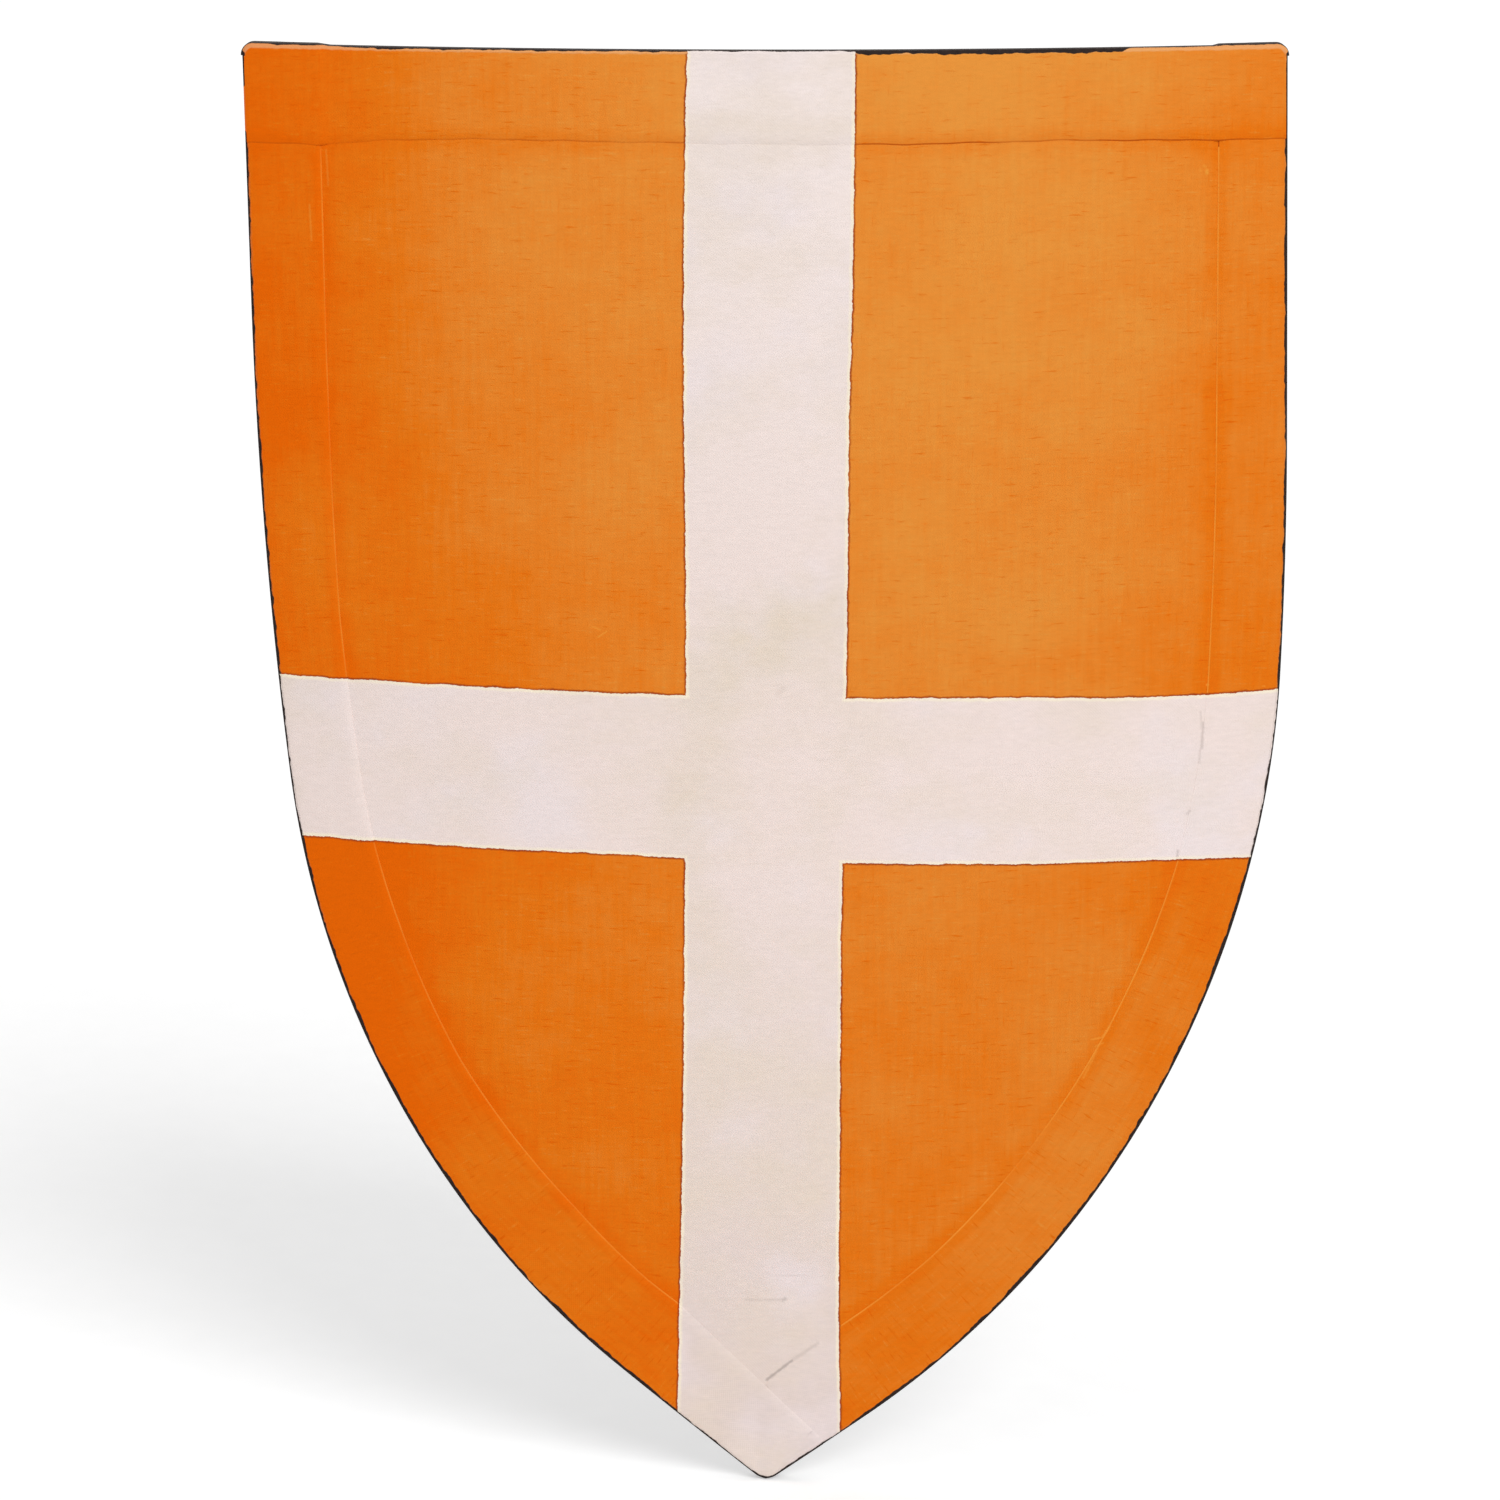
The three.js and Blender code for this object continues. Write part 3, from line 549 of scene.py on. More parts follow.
def stitch_tree() -> Tree:
    """Builds the tree that sews stitches along the edges of a line mesh.

    Returns:
        The tree, with the inputs Spacing, Length, Thickness and Thread.
    """
    tree = Tree("sew_stitches")
    for name, default in (("Spacing", 0.005), ("Length", 0.0038), ("Thickness", 0.0009)):
        tree.size(name, default)
    tree.choice("Thread", "NodeSocketMaterial")
    given = tree.start.outputs
    curve = tree.add("GeometryNodeMeshToCurve", {"Mesh": given["Geometry"]})
    spread = tree.add(
        "GeometryNodeResampleCurve", {"Curve": curve.outputs[0], "Length": given["Spacing"]}, mode="LENGTH"
    )
    tangent = tree.add("GeometryNodeInputTangent")
    turn = tree.add("FunctionNodeAlignRotationToVector", {"Vector": tangent.outputs[0]}, axis="X")
    ball = tree.add("GeometryNodeMeshUVSphere", {"Segments": 8, "Rings": 6, "Radius": 0.5})
    shape = tree.add(
        "ShaderNodeCombineXYZ", {"X": given["Length"], "Y": given["Thickness"], "Z": given["Thickness"]}
    )
    soft = tree.add("GeometryNodeSetShadeSmooth", {0: ball.outputs[0]})
    placed = tree.add(
        "GeometryNodeInstanceOnPoints",
        {
            "Points": spread.outputs[0],
            "Instance": soft.outputs[0],
            "Rotation": turn.outputs[0],
            "Scale": shape.outputs[0],
        },
    )
    tree.close(placed.outputs[0], given["Thread"])
    return tree


def scatter_tree() -> Tree:
    """Builds the tree that sets one fastener on each corner of a point mesh.

    Returns:
        The tree, with the inputs Fastener, Unevenness, Seed and Metal.
    """
    tree = Tree("set_fasteners")
    tree.choice("Fastener", "NodeSocketObject")
    tree.size("Unevenness", 0.04)
    tree.choice("Seed", "NodeSocketInt")
    tree.choice("Metal", "NodeSocketMaterial")
    given = tree.start.outputs
    part = tree.add("GeometryNodeObjectInfo", {"Object": given["Fastener"]})
    facing = tree.add("GeometryNodeInputNamedAttribute", {"Name": "facing"}, data_type="FLOAT_VECTOR")
    upright = tree.add("FunctionNodeAlignRotationToVector", {"Vector": facing.outputs[0]}, axis="Z")
    angle = tree.add(
        "FunctionNodeRandomValue", {2: 0.0, 3: 2 * math.pi, "Seed": given["Seed"]}, data_type="FLOAT"
    )
    spin = tree.add("FunctionNodeAxisAngleToRotation", {"Axis": (0.0, 0.0, 1.0), "Angle": angle.outputs[1]})
    turned = tree.add(
        "FunctionNodeRotateRotation", {"Rotation": upright.outputs[0], "Rotate By": spin.outputs[0]},
        rotation_space="LOCAL",
    )
    least = tree.add("ShaderNodeMath", {0: 1.0, 1: given["Unevenness"]}, operation="SUBTRACT")
    bounds = {2: least.outputs[0], 3: 1.0, "Seed": given["Seed"]}
    scale = tree.add("FunctionNodeRandomValue", bounds, data_type="FLOAT")
    placed = tree.add(
        "GeometryNodeInstanceOnPoints",
        {
            "Points": given["Geometry"],
            "Instance": part.outputs["Geometry"],
            "Rotation": turned.outputs[0],
            "Scale": scale.outputs[1],
        },
    )
    tree.close(placed.outputs[0], given["Metal"])
    return tree


def wire_tree() -> Tree:
    """Builds the tree that gives a closed line its round wire.

    Returns:
        The tree, with the inputs Radius and Metal.
    """
    tree = Tree("bend_wire")
    tree.size("Radius", 0.002)
    tree.choice("Metal", "NodeSocketMaterial")
    given = tree.start.outputs
    curve = tree.add("GeometryNodeMeshToCurve", {"Mesh": given["Geometry"]})
    ring = tree.add("GeometryNodeCurvePrimitiveCircle", {"Resolution": 16, "Radius": given["Radius"]})
    swept = tree.add("GeometryNodeCurveToMesh", {"Curve": curve.outputs[0], "Profile Curve": ring.outputs[0]})
    soft = tree.add("GeometryNodeSetShadeSmooth", {0: swept.outputs[0]})
    tree.close(soft.outputs[0], given["Metal"])
    return tree


def lines_object(name: str, lines: Sequence[Sequence[Vector]], closed: bool = False) -> Piece:
    """Makes one mesh of lines for a tree to start from.

    Args:
        name: The piece's name.
        lines: The lines' points.
        closed: Whether each line's ends are joined.

    Returns:
        The object.
    """
    points: list[Vector] = []
    edges: list[tuple[int, int]] = []
    for line in lines:
        first, last = len(points), len(points) + len(line) - 1
        points.extend(line)
        edges.extend((i, i + 1) for i in range(first, last))
        if closed:
            edges.append((last, first))
    return mesh_object(name, points, [], edges)


# Shader graphs


class Graph(Nodes):
    """A shader tree, of a material or of a node group."""

    def math(self, operation: str, *values: Value, clamp: bool = False) -> Socket:
        """Adds a sum, product or other step of arithmetic.

        Args:
            operation: The node's operation.
            values: Sockets or numbers.
            clamp: Whether the result is held between 0 and 1.

        Returns:
            The result.
        """
        links = dict(enumerate(values))
        return self.add("ShaderNodeMath", links, operation=operation, use_clamp=clamp).outputs[0]

    def times(self, product: Value, *others: Value) -> Socket:
        """Multiplies numbers.

        Args:
            product: The first number.
            others: The other numbers.

        Returns:
            Their product.
        """
        for other in others:
            product = self.math("MULTIPLY", product, other)
        return product

    def scaled(self, value: Value, factor: Value, base: Value, clamp: bool = False) -> Socket:
        """Multiplies a number by a factor and adds the base."""
        return self.math("MULTIPLY_ADD", value, factor, base, clamp=clamp)

    def swing(self, value: Value, width: float) -> Socket:
        """Spreads a number from 0 to 1 over a width that is centred on 0."""
        return self.times(self.math("SUBTRACT", value, 0.5), width)

    def vector(self, operation: str, links: Inputs) -> Outputs:
        """Adds a step of vector arithmetic.

        Args:
            operation: The node's operation.
            links: Input number to a socket or a plain value.

        Returns:
            The node's outputs: a vector, then a number.
        """
        return self.add("ShaderNodeVectorMath", links, operation=operation).outputs

    def blend(self, share: Value, low: Value, high: Value) -> Socket:
        """Mixes two colours.

        Args:
            share: How much of the second colour.
            low: The first colour.
            high: The second colour.

        Returns:
            The mixed colour.
        """
        links = {0: share, 6: low, 7: high}
        return self.add("ShaderNodeMix", links, data_type="RGBA").outputs[2]

    def span(
        self, value: Value, low: Value, high: Value, first: Value = 0.0, last: Value = 1.0, soft: bool = True
    ) -> Socket:
        """Maps a value from one range to another.

        Args:
            value: The value.
            low: Start of its range.
            high: End of its range.
            first: Result at the start.
            last: Result at the end.
            soft: Whether the ends are eased.

        Returns:
            The result.
        """
        links = {"Value": value, "From Min": low, "From Max": high, "To Min": first, "To Max": last}
        kind = "SMOOTHSTEP" if soft else "LINEAR"
        return self.add("ShaderNodeMapRange", links, interpolation_type=kind, clamp=True).outputs[0]

    def noise(self, vector: Socket, scale: Value, detail: float = 2.0, rough: float = 0.5) -> Socket:
        """Adds noise from 0 to 1.

        Args:
            vector: Where it is read.
            scale: Features per metre.
            detail: Octaves.
            rough: Strength of the finer octaves.

        Returns:
            The noise's value.
        """
        links = {"Vector": vector, "Scale": scale, "Detail": detail, "Roughness": rough}
        return self.add("ShaderNodeTexNoise", links).outputs[0]

    def stretch(self, vector: Socket, scale: Colour, turn: Colour = (0, 0, 0)) -> Socket:
        """Scales and turns a place.

        Args:
            vector: The place.
            scale: Scale along each axis.
            turn: Turn about each axis.

        Returns:
            The new place.
        """
        links = {"Vector": vector, "Rotation": turn, "Scale": scale}
        return self.add("ShaderNodeMapping", links).outputs[0]

    def place(self) -> Socket:
        """Returns the place on the object."""
        return self.add("ShaderNodeTexCoord").outputs["Object"]

    def cloth_map(self) -> Socket:
        """Returns the place on the linen, in metres along its threads."""
        return self.add("ShaderNodeUVMap", uv_map="Cloth").outputs[0]

    def attribute(self, name: str) -> Socket:
        """Returns a number stored on the mesh under this name."""
        return self.add("ShaderNodeAttribute", attribute_name=name).outputs["Fac"]

    def bump(self, height: Socket, distance: float, strength: float, normal: Socket | None = None) -> Socket:
        """Turns a height into a normal.

        Args:
            height: The height from 0 to 1.
            distance: Its full depth in metres.
            strength: Its strength.
            normal: A normal to start from.

        Returns:
            The normal.
        """
        links = {"Height": height, "Distance": distance, "Strength": strength}
        if normal is not None:
            links["Normal"] = normal
        return self.add("ShaderNodeBump", links).outputs[0]


class Effect(Graph):
    """A shader node group: an effect that several finishes share."""

    def __init__(self, name: str, inputs: dict[str, float | None], outputs: Sequence[str]) -> None:
        """Starts the group.

        Args:
            name: The group's name.
            inputs: Input name to default value; None stands for a vector.
            outputs: The outputs' names.
        """
        super().__init__(bpy.data.node_groups.new(name, "ShaderNodeTree"))
        for label, value in inputs.items():
            kind = "NodeSocketVector" if value is None else "NodeSocketFloat"
            made = self.tree.interface.new_socket(label, in_out="INPUT", socket_type=kind)
            if value is not None:
                made.default_value = value
        for label in outputs:
            self.tree.interface.new_socket(label, in_out="OUTPUT", socket_type="NodeSocketFloat")
        self.given = self.tree.nodes.new("NodeGroupInput").outputs
        self.result = self.tree.nodes.new("NodeGroupOutput").inputs

    def give(self, label: str, socket: Socket) -> None:
        """Links a result to an output."""
        self.tree.links.new(socket, self.result[label])

    def use(self, graph: Graph, values: dict[str, object]) -> Outputs:
        """Places the effect in a material.

        Args:
            graph: The material's graph.
            values: Input name to socket or value.

        Returns:
            The placed node's outputs.
        """
        return graph.add("ShaderNodeGroup", values, node_tree=self.tree).outputs


# Effects that several finishes share



def weave_effect() -> Effect:
    """Builds a plain weave with uneven threads.

    Returns:
        The group: Map in metres and Pitch give Height, Slub, Pale and Streak from 0 to 1.
    """
    effect = Effect("Weave", {"Map": None, "Pitch": 0.0008}, ("Height", "Slub", "Pale", "Streak"))
    place = effect.given["Map"]
    jitter = effect.noise(effect.stretch(place, (300, 300, 1)), 1.0, 1.0)
    shift = effect.swing(jitter, 3.0)
    parts = effect.add("ShaderNodeSeparateXYZ", {0: place}).outputs
    turn = effect.math("DIVIDE", math.pi, effect.given["Pitch"])
    waves = [
        effect.math("SINE", effect.math("ADD", effect.times(parts[axis], turn), shift))
        for axis in (0, 1)
    ]
    threads = effect.scaled(effect.times(*waves), 0.5, 0.5)
    weft = effect.noise(effect.stretch(place, (80, 680, 1)), 1.0, 3.0, 0.65)
    warp = effect.noise(effect.stretch(place, (680, 80, 1)), 1.0, 3.0, 0.65)
    weft_slub = effect.span(weft, 0.58, 0.74)
    warp_slub = effect.span(warp, 0.60, 0.78)
    slub = effect.math("MAXIMUM", weft_slub, effect.times(warp_slub, 0.6))
    effect.give("Slub", slub)
    effect.give("Pale", effect.span(effect.math("ADD", weft, effect.times(warp, 0.4)), 0.62, 0.46))
    effect.give("Streak", effect.noise(effect.stretch(place, (320, 22, 1)), 1.0, 3.0, 0.6))
    effect.give("Height", effect.scaled(slub, 0.8, threads))
    return effect


def mottle_effect() -> Effect:
    """Builds soft patches on two scales, as brushed paint or dyed leather has.

    Returns:
        The group: Place, Coarse and Fine in features per metre give Patches around 0.
    """
    effect = Effect("Mottle", {"Place": None, "Coarse": 9.0, "Fine": 45.0}, ("Patches",))
    wide = effect.noise(effect.given["Place"], effect.given["Coarse"], 3.0, 0.55)
    close = effect.noise(effect.given["Place"], effect.given["Fine"], 3.0, 0.6)
    both = effect.scaled(close, 0.45, wide)
    effect.give("Patches", effect.times(effect.math("SUBTRACT", both, 0.725), 2.0))
    return effect


def curve_value(graph: Graph, value: Socket, points: Sequence[Pair], low: float, high: float) -> Socket:
    """Reads a smooth line through chosen points, given in millimetres.

    Args:
        graph: The graph.
        value: Where it is read, in metres.
        points: Pairs of place and value.
        low: Least value that the line takes.
        high: Greatest value that the line takes.

    Returns:
        The line's value in metres.
    """
    start, end = points[0][0], points[-1][0]
    share = graph.span(value, start * MILLIMETRE, end * MILLIMETRE, soft=False)
    node = graph.add("ShaderNodeFloatCurve", {"Factor": 1.0, "Value": share})
    line = node.mapping.curves[0]
    for place, height in points[1:-1]:
        line.points.new((place - start) / (end - start), (height - low) / (high - low))
    line.points[0].location = (0.0, (points[0][1] - low) / (high - low))
    line.points[-1].location = (1.0, (points[-1][1] - low) / (high - low))
    node.mapping.update()
    scaled = graph.times(node.outputs[0], (high - low) * MILLIMETRE)
    return graph.math("ADD", scaled, low * MILLIMETRE)


@dataclass(frozen=True)
class Cross:
    """The painted cross's edges in millimetres along the bent front, as the brush left them."""

    left: tuple[Pair, ...] = (
        (-480, -49), (-388, -47.6), (-286, -45.6), (-136, -44),
        (17, -43.3), (160, -44.3), (259, -43.2), (320, -41.6),
    )
    right: tuple[Pair, ...] = (
        (-480, 43.6), (-388, 40.3), (-287, 40.6), (-161, 41.1),
        (-7, 43.5), (115, 44.4), (187, 45.9), (320, 47),
    )
    upper: tuple[Pair, ...] = (
        (-300, -30.4), (-200, -32), (-108, -33.7), (51, -36.6),
        (140, -38), (209, -40.2), (257, -40.4), (300, -39.2),
    )
    lower: tuple[Pair, ...] = (
        (-300, -118.4), (-215, -120.4), (-109, -122.3), (51, -127.3),
        (141, -129.6), (234, -131.3), (300, -133.4),
    )

    def effect(self) -> Effect:
        """Builds the cross as a mask with its brushed edges.

        Returns:
            The group: Place gives White, Edge (metres inside the cross), Along and Up.
        """
        effect = Effect("Cross", {"Place": None}, ("White", "Edge", "Along", "Up"))
        place = effect.given["Place"]
        parts = effect.add("ShaderNodeSeparateXYZ", {0: place}).outputs
        deep = effect.math("SUBTRACT", BOARD.axis_y, parts[1])
        along = effect.times(effect.math("ARCTAN2", parts[0], deep), BOARD.bend_radius)
        rough, frayed = effect.noise(place, 110, 1.0), effect.noise(place, 700, 2.0)
        drift = effect.math("ADD", effect.swing(rough, 0.0016), effect.swing(frayed, 0.0010))
        side = effect.math("ADD", along, drift)
        height = effect.math("ADD", parts[2], drift)
        upright = effect.math(
            "MINIMUM",
            effect.math("SUBTRACT", side, curve_value(effect, parts[2], self.left, -52, -38)),
            effect.math("SUBTRACT", curve_value(effect, parts[2], self.right, 38, 52), side),
        )
        arm = effect.math(
            "MINIMUM",
            effect.math("SUBTRACT", curve_value(effect, along, self.upper, -44, -28), height),
            effect.math("SUBTRACT", height, curve_value(effect, along, self.lower, -136, -116)),
        )
        edge = effect.math("MAXIMUM", upright, arm)
        effect.give("White", effect.span(edge, -0.00015, 0.00015))
        effect.give("Edge", edge)
        effect.give("Along", along)
        effect.give("Up", parts[2])
        return effect


def stroke_effect() -> Effect:
    """Builds the mask of one short mark on the bent front.

    Returns:
        The group: At (along and up the front), its ends Start and End and its Width, in metres, give Mask.
    """
    effect = Effect("Stroke", {"At": None, "Start": None, "End": None, "Width": 0.001}, ("Mask",))
    given = effect.given
    reach = effect.vector("SUBTRACT", {0: given["End"], 1: given["Start"]})[0]
    offset = effect.vector("SUBTRACT", {0: given["At"], 1: given["Start"]})[0]
    length = effect.vector("DOT_PRODUCT", {0: reach, 1: reach})[1]
    run = effect.vector("DOT_PRODUCT", {0: offset, 1: reach})[1]
    share = effect.math("DIVIDE", run, length, clamp=True)
    nearest = effect.vector("SCALE", {0: reach, "Scale": share})[0]
    distance = effect.vector("DISTANCE", {0: offset, 1: nearest})[1]
    uneven = effect.noise(given["At"], 420, 2.0)
    width = effect.times(given["Width"], effect.scaled(uneven, 1.2, 0.2))
    effect.give("Mask", effect.span(effect.math("DIVIDE", distance, width), 1.2, 0.0))
    return effect


def hide_effect() -> Effect:
    """Builds leather's pores, creases with painted shade in them, and darkened edges.

    Returns:
        The group: Place, Edge (metres from the cut edge) and Grain give Height, Tone and Burnish.
    """
    effect = Effect("Hide", {"Place": None, "Edge": 0.01, "Grain": 900.0}, ("Height", "Tone", "Burnish"))
    place = effect.given["Place"]
    values = {"Vector": place, "Scale": effect.given["Grain"]}
    cells = effect.add("ShaderNodeTexVoronoi", values, feature="F1")
    pores = effect.span(cells.outputs["Distance"], 0.05, 0.75)
    creases = effect.noise(effect.stretch(place, (60, 60, 420)), 1.0, 3.0, 0.6)
    crease = effect.span(effect.math("ABSOLUTE", effect.math("SUBTRACT", creases, 0.5)), 0.0, 0.035, 1.0, 0.0)
    groove = effect.span(
        effect.math("ABSOLUTE", effect.math("SUBTRACT", effect.given["Edge"], 0.0025)), 0.0, 0.0006, 1.0, 0.0
    )
    worn = effect.noise(place, 40, 4.0, 0.6)
    close = effect.noise(place, 240, 3.0, 0.6)
    tone = effect.scaled(effect.math("SUBTRACT", close, 0.5), 0.4, worn)
    # The creases also darken the tone: painted shade in the grooves.
    effect.give("Tone", effect.scaled(crease, -0.12, tone))
    height = effect.scaled(crease, -0.5, effect.times(pores, 0.6))
    effect.give("Height", effect.scaled(groove, -1.6, height))
    reach = effect.scaled(worn, 0.0016, 0.0002)
    effect.give("Burnish", effect.span(effect.given["Edge"], 0.0, reach, 1.0, 0.0))
    return effect


def hammer_effect() -> Effect:
    """Builds the dents and dull patches of hand-worked metal.

    Returns:
        The group: Place and Dents in features per metre give Height and Dull.
    """
    effect = Effect("Hammered", {"Place": None, "Dents": 500.0}, ("Height", "Dull"))
    place = effect.given["Place"]
    values = {"Vector": place, "Scale": effect.given["Dents"], "Smoothness": 0.6}
    cells = effect.add("ShaderNodeTexVoronoi", values, feature="SMOOTH_F1")
    scratch = effect.noise(effect.stretch(place, (300, 900, 2600)), 1.0, 2.0)
    effect.give("Height", effect.scaled(scratch, 0.25, cells.outputs["Distance"]))
    patches = effect.noise(place, 160, 4.0, 0.65)
    fine = effect.noise(place, 1500, 2.0)
    effect.give("Dull", effect.span(effect.scaled(fine, 0.3, patches), 0.45, 0.85))
    return effect


@dataclass
class Effects:
    """The effects, each built once."""

    weave: Effect = field(default_factory=weave_effect)
    mottle: Effect = field(default_factory=mottle_effect)
    cross: Effect = field(default_factory=lambda: Cross().effect())
    stroke: Effect = field(default_factory=stroke_effect)
    hide: Effect = field(default_factory=hide_effect)
    hammer: Effect = field(default_factory=hammer_effect)


# Finishes


def new_material(name: str) -> tuple[Material, Graph, bpy.types.Node]:
    """Makes an empty material with its shader.

    Args:
        name: The finish's name.

    Returns:
        The material, its graph and its Principled shader.
    """
    material = bpy.data.materials.new(name)
    material.use_nodes = True
    graph = Graph(material.node_tree)
    shader = material.node_tree.nodes["Principled BSDF"]
    return material, graph, shader


@dataclass(frozen=True)
class Mark:
    """A short scuff or nick in the paint, in millimetres along the bent front."""

    start: Pair
    end: Pair
    width: float
    strength: float


@dataclass(frozen=True)
class PaintedLinen:
    """Orange and white paint brushed on glued linen, with a dark rim, and with painted light and shade in
    both colours.
    """

    name: str = "painted_linen"
    deep: Colour = linear(238, 104, 0)
    middle: Colour = linear(237, 121, 17)
    pale: Colour = linear(235, 151, 61)
    # The white in painted light and shade: brightest at the top, greyer towards the point.
    white_lit: Colour = linear(249, 235, 230)
    white_middle: Colour = linear(245, 228, 222)
    white_shaded: Colour = linear(231, 216, 210)
    cream: Colour = linear(236, 220, 204)
    cool: Colour = linear(244, 232, 234)
    shadow: Colour = linear(160, 64, 24)
    # A pale cream for the line just inside the cross's edge, partly a painted highlight.
    butter_highlight: Colour = linear(255, 243, 218)
    # A paler orange for the nicks and for the line along the side strips' inner edges, partly paint worn on
    # the raised edge and partly a painted highlight; a darker orange for the slubs and for the painted shade
    # under the top strip's edge.
    worn: Colour = linear(244, 158, 58)
    seam: Colour = linear(196, 84, 8)
    # A pinkish orange for the painted highlight along the outline.
    peach_highlight: Colour = linear(244, 184, 126)
    rim: Colour = linear(34, 28, 28)
    rim_worn: Colour = linear(62, 50, 45)
    grime: Colour = linear(116, 104, 100)
    scuffs: tuple[Mark, ...] = (
        Mark((0.8, -416.8), (14.6, -406.0), 1.5, 0.42),
        Mark((14.6, -406.0), (28.8, -396.4), 1.8, 0.14),
        Mark((-11.3, -371.3), (9.7, -371.4), 1.4, 0.13),
        Mark((9.6, -371.6), (10.9, -371.0), 1.9, 0.26),
        Mark((5.7, -357.7), (22.2, -357.7), 1.2, 0.09),
        Mark((6.4, -33.7), (9.1, -30.4), 3.2, 0.07),
        Mark((241.0, -50.0), (241.6, -59.5), 1.3, 0.16),
        Mark((242.4, -56.0), (241.9, -70.0), 1.5, 0.24),
        Mark((240.9, -71.0), (240.5, -78.0), 1.3, 0.14),
        Mark((233.7, -106.1), (235.5, -104.5), 1.3, 0.2),
        Mark((228.8, -126.4), (228.3, -131.9), 1.3, 0.3),
    )
    nicks: tuple[Mark, ...] = (
        Mark((-93.9, 1.8), (-89.6, 0.3), 0.9, 0.5),
        Mark((-90.7, -3.6), (-86.3, -0.7), 0.9, 0.6),
        Mark((-82.8, 80.2), (-82.2, 79.9), 1.0, 0.5),
        Mark((240.0, 244.6), (240.2, 243.6), 1.9, 0.9),
        Mark((238.4, 247.3), (239.0, 246.9), 1.4, 0.5),
        Mark((236.1, 245.2), (236.5, 244.6), 1.3, 0.4),
        Mark((227.4, 94.5), (227.9, 94.2), 1.0, 0.5),
        Mark((-249.6, 225.7), (-248.7, 206.9), 1.1, 0.35),
        Mark((-240.0, 255.5), (-239.1, 236.8), 1.1, 0.30),
        Mark((180.1, -229.5), (186.4, -228.7), 1.0, 0.6),
        Mark((186.4, -228.7), (190.3, -222.8), 1.2, 0.5),
        Mark((182.4, -233.6), (187.0, -231.6), 0.9, 0.4),
        Mark((183.0, -236.4), (175.8, -250.7), 1.2, 0.35),
        Mark((244.3, -35.1), (244.9, -35.0), 1.1, 0.7),
        Mark((276.9, -37.4), (278.2, -37.6), 0.9, 0.5),
    )

    def build(self, effects: Effects) -> Material:
        """Builds the material.

        Args:
            effects: The shared effects.

        Returns:
            The material.
        """
        material, graph, shader = new_material(self.name)
        place = graph.place()
        cloth = effects.weave.use(graph, {"Map": graph.cloth_map()})
        cross = effects.cross.use(graph, {"Place": place})
        tall = graph.stretch(place, (1, 1, 1.6))
        patches = effects.mottle.use(graph, {"Place": tall, "Coarse": 11.0, "Fine": 50.0})[0]
        at = graph.add("ShaderNodeCombineXYZ", {0: cross["Along"], 1: cross["Up"]}).outputs[0]
        orange = self.orange(graph, cross, patches, cloth)
        orange = graph.blend(self.marked(graph, effects, at, self.nicks), orange, self.worn)
        white = self.bleached(graph, cross, place, patches, cloth)
        white = graph.blend(self.marked(graph, effects, at, self.scuffs), white, self.grime)
        line = graph.noise(place, 34, 3.0)
        near = graph.span(cross["Edge"], -0.0015, -0.0004)
        dark = graph.times(near, graph.span(line, 0.2, 0.6, 0.45, 0.95))
        orange = graph.blend(dark, orange, self.shadow)
        # A cream line just inside the cross's edge, brighter than the white: partly cream paint along the
        # edge, partly a painted highlight.
        near = graph.span(cross["Edge"], 0.0024, 0.0007)
        light = graph.times(near, graph.span(line, 0.75, 0.35, 0.45, 1.0))
        white = graph.blend(light, white, self.butter_highlight)
        colour = graph.blend(cross["White"], orange, white)
        grain = graph.noise(graph.stretch(place, (170, 170, 520)), 1.0, 3.0, 0.7)
        colour = graph.vector("SCALE", {0: colour, "Scale": graph.scaled(grain, 0.16, 0.92)})[0]
        colour = self.rimmed(graph, place, cross, colour)
        rough = graph.scaled(cloth["Slub"], 0.1, graph.scaled(patches, 0.08, 0.68))
        strokes = graph.noise(graph.stretch(place, (220, 220, 60)), 1.0, 2.0)
        normal = graph.bump(cloth["Height"], 0.00007, 0.9, graph.bump(strokes, 0.00012, 0.6))
        shader.inputs["Specular IOR Level"].default_value = 0.045
        graph.fill(shader, {"Base Color": colour, "Roughness": rough, "Normal": normal})
        return material

    def marked(self, graph: Graph, effects: Effects, at: Socket, marks: Sequence[Mark]) -> Socket:
        """Gathers marks into one mask.

        Args:
            graph: The material's graph.
            effects: The shared effects.
            at: Place along and up the bent front.
            marks: The marks.

        Returns:
            The strongest mark's strength.
        """
        found = None
        for mark in marks:
            ends = [(p[0] * MILLIMETRE, p[1] * MILLIMETRE, 0.0) for p in (mark.start, mark.end)]
            values = {"At": at, "Start": ends[0], "End": ends[1], "Width": mark.width * MILLIMETRE}
            mask = graph.times(effects.stroke.use(graph, values)[0], mark.strength)
            found = mask if found is None else graph.math("MAXIMUM", found, mask)
        return found

